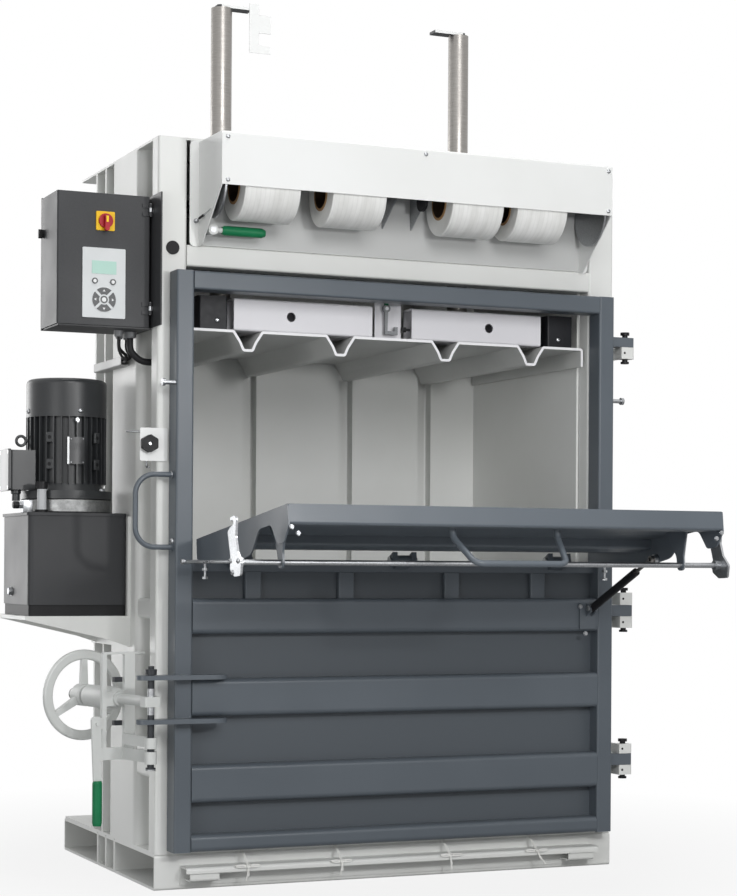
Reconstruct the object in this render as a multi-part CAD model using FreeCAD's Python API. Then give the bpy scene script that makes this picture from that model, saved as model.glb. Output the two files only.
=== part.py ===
"""Vertical recycling baler: welded frame, hydraulic press plate, swinging bale door with a loading flap,
side power unit, control box, strap roll hood and a screw lock with a handwheel.
Millimetres. Origin on the floor under the middle of the base, front towards -Y, +Z up."""
import FreeCAD, Part
import os
from math import sin, cos, tan, radians, hypot, acos, atan2, degrees

V = FreeCAD.Vector

# ---- base and frame ----
base_width = 1374.0
base_front_y = -435.0
base_tube_depths = (365.0, 81.0, 81.0, 353.0)
tube_height = 94.0
tube_wall = 7.0
deck_thick = 6.0
floor_pad_height = 28.0
strap_groove = 45.0
strap_rows_x = (-428.0, -159.0, 159.0, 428.0)
post_width = 80.0
post_depth = 57.0
post_wall = 5.0
frame_top_z = 1981.0
wall_thick = 6.0
rear_wall_y = 292.0
bulge_rear_y = -10.0
bulge_front_y = -265.0
bulge_bend = 19.0
outer_channel_y = (43.0, 146.0)
outer_channel_thick = 12.0
recess_ribs_z = ((291.0, 376.0), (714.0, 768.0))
top_plate_thick = 6.0
header_z = 1648.0
header_height = 57.0
back_panel_thick = 3.0
plug_radius = 15.0
plug_z = 1694.0

# ---- press ----
cylinder_x = 376.0
cylinder_y = -45.0
barrel_radius = 30.0
bore_radius = 25.0
piston_rod_radius = 20.0
barrel_top_z = 2447.0
barrel_floor = 17.0
piston_length = 34.0
piston_end_gap = 8.0
gland_length = 36.0
running_gap = 0.05
press_stroke = 760.0
press_plate_z = 1488.0
press_sheet = 7.0
press_side_gap = 3.0
press_front_y = -420.0
press_rear_y = 283.0
press_skirt = 53.0
press_groove = ((39.5, 0.0), (19.5, 30.0), (10.5, 50.0))
beam_height = 81.0
beam_seat = 6.0
beam_hole_x = 300.0
beam_hole_radius = 13.0
cross_beam_half = 35.0
front_beam_y = (-410.0, -350.0)
rear_beam_y = (200.0, 260.0)
beam_inner_x = 60.0
beam_outer_x = 465.0
guide_inner_x = 485.0
guide_outer_x = 565.0
guide_height = 89.0

# ---- hood and strap rolls ----
hood_half_width = 576.0
hood_front_y = -620.0
hood_sheet = 3.0
hood_flange = 25.0
hood_mouth_z = 1838.0
hood_low_z = 1701.0
hood_top_z = 1976.0
roll_radius = 88.0
roll_core_radius = 45.0
roll_bore_radius = 38.0
roll_length = 155.0
roll_starts_x = (-508.0, -262.0, 88.0, 285.0)
roll_y = -524.5
roll_z = 1850.0
roll_rod_radius = 10.0
roll_hang_gap = 0.3
gussets_x = (-45.0, 41.0)
gusset_drop = 20.0
gusset_rise = 85.0

# ---- door ----
door_front_y = -500.0
door_inset = 32.0
door_half_width = base_width / 2 - door_inset
door_depth = 64.0
door_bottom_z = 105.0
door_top_z = 1629.0
stile_width = 48.0
stile_wall = 4.0
top_rail_height = 49.0
door_skin = 6.0
door_skin_y = 44.0
door_rails_z = ((105.0, 150.0), (234.0, 333.0), (461.0, 559.0), (677.0, 770.0))
door_rib_width = 45.0
sill_depth = 16.0
sill_height = 28.0
sill_drop = 7.0
hinge_x = door_half_width + 54.0
hinge_y = -467.0
hinge_pin_radius = 8.0
knuckle_half = 20.0
knuckle_gap = 0.5
hinge_overhang = 21.0

# ---- loading flap, built closed and then turned open ----
flap_hinge_y = -488.0
flap_hinge_z = 875.0
flap_open_angle = 83.25
flap_side_gap = 9.0
flap_half_width = door_half_width - stile_width - flap_side_gap
flap_length = 673.0
flap_wall = 49.0
flap_sheet = 4.0
flap_skin_v = 22.0
flap_pin_radius = 6.0
flap_lug_radius = 13.0
flap_hinges_x = (-480.0, 0.0, 480.0)
lock_rod_u = 522.0
lock_rod_v = -72.0
lock_rod_radius = 7.0
lock_turn = 36.5
striker_z = 1334.0
striker_radius = 6.0
hook_gap = 0.8
gas_x = door_half_width - 80.0
gas_low_y = -522.0
gas_low_z = 742.0
gas_high_u = 350.0
gas_high_v = -36.0
gas_tube_radius = 11.0
gas_rod_radius = 5.0
gas_tube_length = 262.0

# ---- screw lock on the left ----
fork_x = -door_half_width - 73.0
fork_y = -525.0
fork_plates_z = ((446.0, 458.0), (560.0, 572.0))
fork_bolt_radius = 9.0
fork_tail = 38.0
fork_reach = 213.0
fork_depth = 45.0
arm_angle = 13.6
spindle_z = 504.0
spindle_radius = 13.5
wheel_at = 350.0
wheel_radius = 123.0
wheel_rim_width = 27.0
wheel_rim_depth = 16.0
wheel_hub_radius = 30.0
wheel_hub_half = 22.0
gate_at = 160.0
gate_thick = 12.0
gate_left = -51.0
gate_right = 48.0
gate_window = (-38.0, 16.5)
gate_top_z = 627.0

# ---- control box ----
box_left_x = -948.0
box_right_x = -697.0
box_front_y = -396.0
box_rear_y = -238.0
box_low_z = 1480.0
box_high_z = 1830.0
box_sheet = 3.0
cover_hinge_insets = (38.0, 52.0)
cover_pin_radius = 2.5
latch_drop = 96.0
keypad_width = 116.0
keypad_height = 183.0
keypad_x = -881.0
keypad_z = 1503.0
main_switch_x = -820.0
main_switch_z = 1757.0
main_switch_half = 25.0

# ---- power unit ----
tank_left_x = -968.0
tank_right_x = -695.0
tank_front_y = -200.0
tank_rear_y = 85.0
tank_low_z = 718.0
tank_high_z = 997.0
tank_foot_height = 30.0
tank_lid_thick = 8.0
bracket_thick = 10.0
bracket_web = 84.0
motor_x = -828.0
motor_y = -60.0
motor_radius = 110.0
motor_flange_radius = 125.0
stator_radius = 96.0
rotor_radius = 68.0
air_gap = 0.5
fin_count = 32

# ---- values that follow ----
half_width = base_width / 2
deck_z = tube_height + deck_thick
base_depth = sum(base_tube_depths)
base_rear_y = base_front_y + base_depth
post_inner_x = half_width - post_width
post_rear_y = base_front_y + post_depth
chamber_half_width = post_inner_x - wall_thick
door_rear_y = door_front_y + door_depth
stile_inner_x = door_half_width - stile_width
beam_top_z = press_plate_z + beam_seat + beam_height


# ---- small building functions ----
def block(x, y, z):
    """Solid between two limits on each axis."""
    return Part.makeBox(x[1] - x[0], y[1] - y[0], z[1] - z[0], V(x[0], y[0], z[0]))


def rod(start, direction, radius, length):
    return Part.makeCylinder(radius, length, V(*start), V(*direction))


def pierced(body, *cutters):
    for cutter in cutters:
        body = body.cut(cutter)
    return body


def joined(first, *others):
    return first.fuse(list(others)).removeSplitter()


def plane_map(axis, level):
    """Puts a point of an outline on the plane at right angles to the axis."""
    maps = {"x": lambda a, b: V(level, a, b), "y": lambda a, b: V(a, level, b),
            "z": lambda a, b: V(a, b, level)}
    return maps[axis]


AXES = {"x": V(1, 0, 0), "y": V(0, 1, 0), "z": V(0, 0, 1)}


def rounded_face(points, radii, place):
    """Closed outline with a tangent arc of its own radius at each corner."""
    count = len(points)
    corners = []
    for i, (a, b) in enumerate(points):
        before, after = points[i - 1], points[(i + 1) % count]
        to_before = V(before[0] - a, before[1] - b, 0).normalize()
        to_after = V(after[0] - a, after[1] - b, 0).normalize()
        corner, radius = V(a, b, 0), radii[i]
        if radius <= 0:
            corners.append((corner, None, corner))
            continue
        half = acos(max(-1.0, min(1.0, to_before.dot(to_after)))) / 2
        back = radius / tan(half)
        middle = corner + (to_before + to_after).normalize() * (radius / sin(half) - radius)
        corners.append((corner + to_before * back, middle, corner + to_after * back))
    edges = []
    for i, (start, middle, end) in enumerate(corners):
        if middle is not None:
            edges.append(Part.Arc(place(start.x, start.y), place(middle.x, middle.y),
                                  place(end.x, end.y)).toShape())
        following = corners[(i + 1) % count][0]
        if end.distanceToPoint(following) > 1e-6:
            edges.append(Part.LineSegment(place(end.x, end.y),
                                          place(following.x, following.y)).toShape())
    return Part.Face(Part.Wire(edges))


def prism(points, axis, span, radii=0.0):
    """Outline in the plane at right angles to an axis, drawn out between two levels."""
    if not isinstance(radii, (list, tuple)):
        radii = [radii] * len(points)
    face = rounded_face(points, radii, plane_map(axis, span[0]))
    return face.extrude(AXES[axis] * (span[1] - span[0]))


def rectangle(a, b):
    return [(a[0], b[0]), (a[1], b[0]), (a[1], b[1]), (a[0], b[1])]


def hollow_section(axis, span, a, b, wall, corner=0.0):
    """Rectangular tube along an axis."""
    outer = prism(rectangle(a, b), axis, span, corner)
    inside = rectangle((a[0] + wall, a[1] - wall), (b[0] + wall, b[1] - wall))
    return outer.cut(prism(inside, axis, span, max(corner - wall, 0.0)))


def folded_sheet(path, thick, axis, span, bend=0.0):
    """Bent sheet: a path of straight runs, its thickness on the left, with rounded bends."""
    normals = []
    for (a0, b0), (a1, b1) in zip(path, path[1:]):
        run = hypot(a1 - a0, b1 - b0)
        normals.append((-(b1 - b0) / run, (a1 - a0) / run))
    inner, path_radii, inner_radii = [], [], []
    for i, (a, b) in enumerate(path):
        first, second = normals[max(i - 1, 0)], normals[min(i, len(normals) - 1)]
        scale = thick / (1 + first[0] * second[0] + first[1] * second[1])
        inner.append((a + (first[0] + second[0]) * scale, b + (first[1] + second[1]) * scale))
        turn = first[0] * second[1] - first[1] * second[0]
        at_bend = 0 < i < len(path) - 1 and bend > 0 and abs(turn) > 1e-9
        path_radii.append((bend + thick if turn > 0 else bend) if at_bend else 0.0)
        inner_radii.append((bend if turn > 0 else bend + thick) if at_bend else 0.0)
    return prism(path + inner[::-1], axis, span, path_radii + inner_radii[::-1])


def turned(profile, base, direction=(0, 0, 1), radii=0.0):
    """Outline of radius and height, turned about an axis that starts at base."""
    if not isinstance(radii, (list, tuple)):
        radii = [radii] * len(profile)
    solid = rounded_face(profile, radii, plane_map("y", 0.0)).revolve(V(0, 0, 0), V(0, 0, 1), 360)
    turn = FreeCAD.Rotation(V(0, 0, 1), V(*direction))
    solid.Placement = FreeCAD.Placement(V(*base), turn)
    return solid


def ring(inner, outer, low, high, base, direction=(0, 0, 1), radii=0.0):
    return turned([(inner, low), (outer, low), (outer, high), (inner, high)], base, direction, radii)


def mirrored(shape):
    return shape.mirror(V(0, 0, 0), V(1, 0, 0))


def spun(shape, base, direction, angle):
    copy = shape.copy()
    copy.rotate(V(*base), V(*direction), angle)
    return copy


def moved(shape, x=0.0, y=0.0, z=0.0):
    copy = shape.copy()
    copy.translate(V(x, y, z))
    return copy


def bent_tube(points, radius, bends):
    """Round bar or cord along straight runs joined by tangent arcs."""
    route = [V(*point) for point in points]
    edges, start = [], route[0]
    for i in range(1, len(route) - 1):
        back = (route[i - 1] - route[i])
        ahead = (route[i + 1] - route[i])
        half = back.getAngle(ahead) / 2
        size = bends if bends else 0.45 * min(back.Length, ahead.Length) * tan(half)
        back.normalize()
        ahead.normalize()
        cut = size / tan(half)
        enter, leave = route[i] + back * cut, route[i] + ahead * cut
        middle = route[i] + (back + ahead).normalize() * (size / sin(half) - size)
        if start.distanceToPoint(enter) > 1e-6:
            edges.append(Part.LineSegment(start, enter).toShape())
        edges.append(Part.Arc(enter, middle, leave).toShape())
        start = leave
    edges.append(Part.LineSegment(start, route[-1]).toShape())
    path = Part.Wire(edges)
    end = Part.Wire([Part.makeCircle(radius, route[0], route[1] - route[0])])
    return path.makePipeShell([end], True, False)


nodes = {}


def keep(name, *shapes):
    """Records the solids of one named piece."""
    solids = [solid for shape in shapes for solid in shape.Solids]
    nodes[name] = solids[0] if len(solids) == 1 else Part.makeCompound(solids)


# ---- welded base ----
def make_base():
    tubes, start = [], base_front_y
    for depth in base_tube_depths:
        tubes.append(hollow_section("x", (-half_width, half_width), (start, start + depth),
                                    (0, tube_height), tube_wall, corner=tube_wall + 1))
        start += depth
    deck = prism(rectangle((-half_width, half_width), (base_front_y, base_rear_y)), "z",
                 (tube_height, deck_z), 12.0)
    keep("base_frame", deck, *tubes)
    edges = [-chamber_half_width]
    for x in strap_rows_x:
        edges += [x - strap_groove / 2, x + strap_groove / 2]
    edges.append(chamber_half_width)
    pads = [folded_sheet([(right, deck_z), (right, deck_z + floor_pad_height),
                          (left, deck_z + floor_pad_height), (left, deck_z)], wall_thick, "y",
                         (base_front_y + 5, rear_wall_y), 5.0)
            for left, right in zip(edges[::2], edges[1::2])]
    keep("floor_pads", *pads)


strap_bar_half = 617.0
strap_bar_top = 64.0
strap_bar_y = -492.0
lug_width = 81.0
lug_low_z = 26.0


def make_strap_bar():
    """Ledge in front of the base that the strap ends are tied to."""
    ledge = folded_sheet([(base_front_y, strap_bar_top), (strap_bar_y, strap_bar_top),
                          (strap_bar_y, strap_bar_top - 16)], 5.0, "x",
                         (-strap_bar_half, strap_bar_half), 4.0)
    fixing = block((-strap_bar_half, strap_bar_half), (base_front_y - 5, base_front_y), (12, strap_bar_top - 5))
    lug = folded_sheet([(base_front_y - 5, strap_bar_top - 5), (strap_bar_y + 5.5, strap_bar_top - 5),
                        (strap_bar_y + 5.5, lug_low_z), (base_front_y - 5, lug_low_z)], 4.0, "x",
                       (-strap_bar_half + 12, -strap_bar_half + 12 + lug_width), 4.0)
    keep("strap_bar", ledge, fixing, lug, mirrored(lug))


def make_posts():
    post = hollow_section("z", (deck_z, frame_top_z), (-half_width, -post_inner_x),
                          (base_front_y, post_rear_y), post_wall, 8.0)
    plug_x = -(half_width + post_inner_x) / 2
    hole = rod((plug_x, base_front_y - 1, plug_z), (0, 1, 0), plug_radius, post_wall + 2)
    keep("corner_posts", post.cut(hole), mirrored(post))
    plug = turned([(0, -3), (plug_radius + 3, -3), (plug_radius + 3, 0), (plug_radius - running_gap, 0),
                   (plug_radius - running_gap, post_wall), (0, post_wall)],
                  (plug_x, base_front_y, plug_z), (0, 1, 0))
    return plug


def make_side_walls():
    wall = block((-post_inner_x, -chamber_half_width), (post_rear_y, rear_wall_y), (deck_z, frame_top_z))
    keep("side_walls", wall, mirrored(wall))
    span = (deck_z, frame_top_z)
    bulge = folded_sheet([(-post_inner_x, bulge_rear_y), (-half_width, bulge_rear_y),
                          (-half_width, bulge_front_y), (-post_inner_x, bulge_front_y)],
                         wall_thick, "z", span, bulge_bend)
    front, rear = outer_channel_y
    channel = folded_sheet([(-half_width, front), (-post_inner_x, front), (-post_inner_x, rear),
                            (-half_width, rear)], outer_channel_thick, "z", span, 4.0)
    rib_x = -half_width + 4
    ribs = [folded_sheet([(-post_inner_x, high), (rib_x, high), (rib_x, low), (-post_inner_x, low)],
                         5.0, "y", (post_rear_y, bulge_front_y), 5.0) for low, high in recess_ribs_z]
    pieces = [bulge, channel] + ribs
    keep("side_channels", *pieces, *[mirrored(piece) for piece in pieces])


slot_z = (150.0, 1500.0)
rear_stiffeners_z = (330.0, 780.0, 1230.0, 1680.0)
stiffener_height = 110.0
stiffener_depth = 55.0
strap_duct = 60.0
strap_duct_depth = 40.0


def make_rear():
    """Rear wall with strap slots, their ducts behind and hat stiffeners over the ducts."""
    rear_face = rear_wall_y + wall_thick
    plate = block((-post_inner_x, post_inner_x), (rear_wall_y, rear_face), (deck_z, frame_top_z))
    ducts, envelopes = [], []
    for x in strap_rows_x:
        plate = plate.cut(block((x - strap_groove / 2, x + strap_groove / 2),
                                (rear_wall_y - 1, rear_face + 1), slot_z))
        left, right = x - strap_duct / 2, x + strap_duct / 2
        ducts.append(folded_sheet([(right, rear_face), (right, rear_face + strap_duct_depth),
                                   (left, rear_face + strap_duct_depth), (left, rear_face)], 4.0, "z",
                                  (slot_z[0] - 20, slot_z[1] + 20), 6.0))
        envelopes.append(block((left, right), (rear_face, rear_face + strap_duct_depth), slot_z))
    bars = []
    for low in rear_stiffeners_z:
        bar = folded_sheet([(rear_face, low), (rear_face + stiffener_depth, low),
                            (rear_face + stiffener_depth, low + stiffener_height),
                            (rear_face, low + stiffener_height)], 5.0, "x",
                           (-post_inner_x, post_inner_x), 5.0)
        bars.append(pierced(bar, *envelopes))
    keep("rear_wall", plate, *bars, *ducts)


def make_top():
    top = frame_top_z + top_plate_thick
    plate = prism(rectangle((-half_width, half_width), (base_front_y, rear_wall_y + wall_thick)), "z",
                  (frame_top_z, top), 8.0)
    holes = [rod((x, cylinder_y, frame_top_z - 1), (0, 0, 1), barrel_radius + 0.5, top_plate_thick + 2)
             for x in (-cylinder_x, cylinder_x)]
    keep("top_plate", pierced(plate, *holes))
    beam = hollow_section("x", (-post_inner_x, post_inner_x), (base_front_y, post_rear_y),
                          (header_z, header_z + header_height), post_wall, 6.0)
    panel_half = hood_half_width + hood_flange - 3
    panel = block((-panel_half, panel_half), (base_front_y, base_front_y + back_panel_thick),
                  (header_z + header_height, frame_top_z))
    keep("header_beam", beam, panel)


mount_beam_width = 50.0
mount_beam_height = 100.0
mount_beams_y = (-150.0, 10.0)
mount_plate_thick = 20.0
mount_plate_half = 90.0
barrel_collar_radius = 45.0
barrel_collar = 20.0
gland_radius = 36.0
top_bar_half = 20.0
top_bar_span = (-17.0, 86.0)
top_bar_thick = 8.0
cam_starts = 77.0
cam_reach = 65.0
cam_waist = 29.0
cam_thick = 3.0
cam_head = 19.0
cam_drops = (121.0, 100.0, 97.0, 63.0, 12.0)


def make_cylinders():
    """Two upright cylinders: barrels fixed under the top plate, rods fixed to the press plate."""
    beam_low = frame_top_z - mount_beam_height
    beams = [hollow_section("x", (-chamber_half_width, chamber_half_width), (y, y + mount_beam_width),
                            (beam_low, frame_top_z), wall_thick, 8.0) for y in mount_beams_y]
    plate_low = beam_low - mount_plate_thick
    plates = []
    for x in (-cylinder_x, cylinder_x):
        plate = block((x - mount_plate_half, x + mount_plate_half),
                      (mount_beams_y[0], mount_beams_y[1] + mount_beam_width),
                      (plate_low, beam_low))
        plates.append(plate.cut(rod((x, cylinder_y, plate_low - 1), (0, 0, 1),
                                    barrel_radius + running_gap, mount_plate_thick + 2)))
    keep("cylinder_mounts", *beams, *plates)
    barrels, rods = [], []
    piston_high = barrel_top_z - barrel_floor - piston_end_gap
    piston_low = piston_high - piston_length
    barrel_bottom_z = piston_low - press_stroke - piston_end_gap - gland_length
    collar_low = plate_low - barrel_collar
    outline = [(piston_rod_radius + running_gap, barrel_bottom_z), (gland_radius, barrel_bottom_z),
               (gland_radius, barrel_bottom_z + gland_length), (barrel_radius, barrel_bottom_z + gland_length),
               (barrel_radius, collar_low), (barrel_collar_radius, collar_low),
               (barrel_collar_radius, plate_low), (barrel_radius, plate_low),
               (barrel_radius, barrel_top_z), (0, barrel_top_z), (0, barrel_top_z - barrel_floor),
               (bore_radius, barrel_top_z - barrel_floor), (bore_radius, barrel_bottom_z + gland_length),
               (piston_rod_radius + running_gap, barrel_bottom_z + gland_length)]
    rod_outline = [(0, beam_top_z), (piston_rod_radius, beam_top_z), (piston_rod_radius, piston_low),
                   (bore_radius - running_gap, piston_low), (bore_radius - running_gap, piston_high),
                   (0, piston_high)]
    for x in (-cylinder_x, cylinder_x):
        barrels.append(turned(outline, (x, cylinder_y, 0)))
        rods.append(turned(rod_outline, (x, cylinder_y, 0)))
    keep("cylinder_barrels", *barrels)
    keep("piston_rods", *rods)
    bar = prism(rectangle((top_bar_span[0] - cylinder_x, top_bar_span[1] - cylinder_x),
                          (cylinder_y - top_bar_half, cylinder_y + top_bar_half)), "z",
                (barrel_top_z, barrel_top_z + top_bar_thick), [12.0, 0, 0, 12.0])
    strip_x = cam_starts - cylinder_x
    reach = strip_x + cam_reach
    waist = strip_x + cam_waist
    low, foot, step, shelf, head = (barrel_top_z - drop for drop in cam_drops)
    outline = [(strip_x, low), (reach, low), (reach, foot), (waist, step), (waist, shelf), (reach, shelf),
               (reach, head), (waist, head), (waist, barrel_top_z + cam_head), (strip_x, barrel_top_z + cam_head)]
    cam = prism(outline, "y", (cylinder_y - top_bar_half - cam_thick, cylinder_y - top_bar_half))
    keep("cylinder_top_bars", bar, mirrored(bar), cam)


def make_press():
    """Press plate with strap grooves, its box beams, guide blocks and side skirts."""
    half = chamber_half_width - press_side_gap
    path = [(half, press_plate_z - press_skirt), (half, press_plate_z)]
    for x in strap_rows_x[::-1]:
        path += [(x + out, press_plate_z - down) for out, down in press_groove]
        path += [(x - out, press_plate_z - down) for out, down in press_groove[::-1]]
    path += [(-half, press_plate_z), (-half, press_plate_z - press_skirt)]
    keep("press_plate", folded_sheet(path, press_sheet, "y", (press_front_y, press_rear_y), 2.0))
    low, high = press_plate_z, beam_top_z
    beams = []
    for y in (front_beam_y, rear_beam_y):
        beam = hollow_section("x", (beam_inner_x, beam_outer_x), y, (low, high), 5.0, 6.0)
        if y is front_beam_y:
            beam = beam.cut(rod((beam_hole_x, y[0] - 1, (low + high) / 2), (0, 1, 0), beam_hole_radius, 7))
        beams += [beam, mirrored(beam)]
    for x in (-cylinder_x, cylinder_x):
        beams.append(hollow_section("y", (front_beam_y[1], rear_beam_y[0]),
                                    (x - cross_beam_half, x + cross_beam_half),
                                    (low, high), 6.0, 6.0))
    guide = hollow_section("z", (low, press_plate_z + guide_height), (guide_inner_x, guide_outer_x),
                           (front_beam_y[0] - 5, front_beam_y[1]), 6.0, 5.0)
    keep("guide_blocks", guide, mirrored(guide))
    return beams


centre_plate_half = 40.0
centre_plate_top = 1600.0
lever_pivot_z = 1572.0


def make_centre_lever(beams):
    """Plate between the beams with the eject hook lever."""
    front = front_beam_y[0] + 30
    plate = prism(rectangle((-centre_plate_half, centre_plate_half), (press_plate_z, centre_plate_top)), "y",
                  (front, front + 4), [0, 0, 10.0, 10.0])
    foot = block((-centre_plate_half, centre_plate_half), (front + 4, front + 40),
                 (press_plate_z, press_plate_z + 4))
    pivot = rod((-12, front - 22, lever_pivot_z), (0, 1, 0), 5.0, 22)
    keep("press_beams", joined(plate, foot), pivot, *beams)
    hub = ring(5 + running_gap, 11, 0, 8, (-12, front - 20, lever_pivot_z), (0, 1, 0))
    arm = prism([(-17, lever_pivot_z - 7), (-7, lever_pivot_z - 7), (-9, lever_pivot_z - 62),
                 (12, lever_pivot_z - 62), (12, lever_pivot_z - 50), (22, lever_pivot_z - 50),
                 (22, lever_pivot_z - 72), (-17, lever_pivot_z - 72)], "y", (front - 19, front - 13))
    grip = prism([(-17, lever_pivot_z + 9), (-7, lever_pivot_z + 9), (-7, lever_pivot_z + 44),
                  (-17, lever_pivot_z + 44)], "y", (front - 20, front - 12), [0, 0, 4.0, 4.0])
    keep("hook_lever", joined(hub, arm, grip))


def make_hood():
    """Cheeks, cover, axle rod and discs of the strap roll hood."""
    side = hood_half_width
    gap = hood_sheet + 0.1
    outline = [(base_front_y - hood_sheet, hood_low_z), (base_front_y - 25, hood_low_z),
               (hood_front_y + gap, hood_mouth_z), (hood_front_y + gap, hood_top_z - gap),
               (base_front_y - hood_sheet, hood_top_z + 1 - gap)]
    cheek = prism(outline, "x", (-side, -side + hood_sheet), [0, 22.0, 8.0, 4.0, 0])
    flange = prism(rectangle((-side - hood_flange, -side + hood_sheet), (hood_low_z, hood_top_z + 4)), "y",
                   (base_front_y - hood_sheet, base_front_y), [14.0, 0, 0, 14.0])
    cheek = joined(cheek, flange)
    keep("hood_cheeks", cheek, mirrored(cheek))
    keep("hood_cover", folded_sheet([(base_front_y - gap, hood_top_z + 1), (hood_front_y, hood_top_z),
                                     (hood_front_y, hood_mouth_z)], hood_sheet, "x", (-side, side), 3.0))
    rod_z = roll_z + roll_bore_radius - roll_rod_radius - roll_hang_gap
    end = side - hood_sheet
    axle = rod((-end, roll_y, rod_z), (1, 0, 0), roll_rod_radius, 2 * end)
    discs = [rod((x, roll_y, roll_z), (1, 0, 0), roll_radius - 3, 5).cut(
        rod((x - 1, roll_y, rod_z), (1, 0, 0), roll_rod_radius + running_gap, 7))
        for x in (-end + 10, end - 15)]
    gusset_points = [(base_front_y, hood_top_z - gusset_drop), (base_front_y, hood_low_z + gusset_rise),
                     (roll_y - 22, rod_z - 12), (roll_y - 22, rod_z + 22)]
    gussets = [prism(gusset_points, "x", (x, x + 4), [0, 0, 12.0, 12.0]).cut(
        rod((x - 1, roll_y, rod_z), (1, 0, 0), roll_rod_radius + running_gap, 6)) for x in gussets_x]
    keep("roll_axle", axle, *gussets, *discs)
    for number, x in enumerate(roll_starts_x, 1):
        outline = [(roll_bore_radius, -2), (roll_core_radius, -2), (roll_core_radius, 0), (roll_radius, 0),
                   (roll_radius, roll_length), (roll_core_radius, roll_length),
                   (roll_core_radius, roll_length + 2), (roll_bore_radius, roll_length + 2)]
        keep("strap_roll_%d" % number, turned(outline, (x, roll_y, roll_z), (1, 0, 0),
                                              [0, 0, 0, 4.0, 4.0, 0, 0, 0]))


band_lever_y = -480.0
band_lever_z = 1741.0
band_grip_length = 121.0


def make_band_lever():
    """Green grip lever below the left rolls, turning on a pin in the back panel beside the left cheek."""
    start = -hood_half_width + 24
    shank = rod((start, band_lever_y, band_lever_z), (1, 0, 0), 7.0, 40)
    grip = turned([(0, 0), (10, 0), (13, 8), (13, band_grip_length - 10), (9, band_grip_length),
                   (0, band_grip_length)], (start + 26, band_lever_y, band_lever_z), (1, 0, 0)).cut(shank)
    hub = ring(8 + running_gap, 14, -9, 9, (start, band_lever_y, band_lever_z), (0, 1, 0))
    shank = joined(shank.cut(rod((start, band_lever_y - 20, band_lever_z), (0, 1, 0), 9, 40)), hub)
    keep("band_lever", shank, grip)
    return rod((start, band_lever_y - 9, band_lever_z), (0, 1, 0), 8.0, base_front_y - band_lever_y + 9)


def make_door():
    """Bale door frame of square tube, skin with box rails, ribs over the strap grooves."""
    span = (door_bottom_z, door_top_z)
    depth = (door_front_y, door_rear_y)
    left = hollow_section("z", span, (-door_half_width, -stile_inner_x), depth, stile_wall, 6.0)
    rail = hollow_section("x", (-stile_inner_x, stile_inner_x), depth,
                          (door_top_z - top_rail_height, door_top_z), stile_wall, 6.0)
    keep("door_frame", left, mirrored(left), rail)
    sill_z = flap_hinge_z - sill_drop
    skin = block((-stile_inner_x, stile_inner_x),
                 (door_front_y + door_skin_y, door_front_y + door_skin_y + door_skin),
                 (door_bottom_z, sill_z))
    back = door_front_y + door_skin_y
    rails = [folded_sheet([(back, high), (door_front_y, high), (door_front_y, low), (back, low)], 5.0, "x",
                          (-stile_inner_x, stile_inner_x), 8.0) for low, high in door_rails_z]
    sill = hollow_section("x", (-stile_inner_x, stile_inner_x), (back - sill_depth, back),
                          (sill_z - sill_height, sill_z),
                          3.0, 3.0)
    top = door_rails_z[-1][1]
    ribs = [hollow_section("z", (top, sill_z - sill_height), (x - door_rib_width / 2, x + door_rib_width / 2),
                           (back - sill_depth, back), 3.0, 3.0) for x in strap_rows_x]
    keep("door_panel", skin, sill, *rails, *ribs)


hinge_white_z = ((1457.0, 1490.0), (751.0, 786.0), (685.0, 718.0), (325.0, 352.0), (264.0, 292.0))
hinge_dark_z = ((1490.0, 1518.0), (718.0, 751.0), (292.0, 325.0))
hinge_pins_z = ((1450.0, 1526.0), (679.0, 792.0), (258.0, 358.0))


def make_hinges():
    """Knuckles on the post, arms on the door and pins with caps."""
    x_span, y_span = (half_width, hinge_x + hinge_overhang), (hinge_y - knuckle_half, hinge_y + knuckle_half)
    fixed = []
    for low, high in hinge_white_z:
        knuckle = prism(rectangle(x_span, y_span), "z", (low, high), [0, 8.0, 8.0, 0])
        leaf = block((half_width, half_width + 12), (y_span[1], base_front_y + 52), (low, high))
        hole = rod((hinge_x, hinge_y, low - 1), (0, 0, 1), hinge_pin_radius + running_gap, high - low + 2)
        fixed.append(joined(knuckle, leaf).cut(hole))
    keep("hinge_blocks", *fixed)
    arms = []
    for low, high in hinge_dark_z:
        arm = prism(rectangle((door_half_width, hinge_x + hinge_overhang), y_span), "z",
                    (low + knuckle_gap, high - knuckle_gap), [0, 9.0, 9.0, 0])
        arms.append(arm.cut(rod((hinge_x, hinge_y, low - 1), (0, 0, 1), hinge_pin_radius + running_gap,
                                high - low + 2)))
    pins = []
    for low, high in hinge_pins_z:
        pins.append(turned([(0, low - 6), (12, low - 6), (12, low), (hinge_pin_radius, low),
                            (hinge_pin_radius, high), (13, high), (13, high + 8), (0, high + 8)],
                           (hinge_x, hinge_y, 0)))
    return pins, arms


handle_z = (904.0, 1094.0)
handle_reach = 101.0
handle_radius = 7.0
handle_bend = 52.0
handle_foot = 3.0


def make_door_handle():
    y, reach = door_front_y + 30, -door_half_width - handle_reach
    start, (low, high) = -door_half_width - handle_foot, handle_z
    bar = bent_tube([(start, y, high), (reach, y, high), (reach, y, low), (start, y, low)],
                    handle_radius, handle_bend)
    feet = [rod((-door_half_width, y, z), (-1, 0, 0), handle_radius + 4, handle_foot) for z in (high, low)]
    keep("door_handle", bar, *feet)


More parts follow.
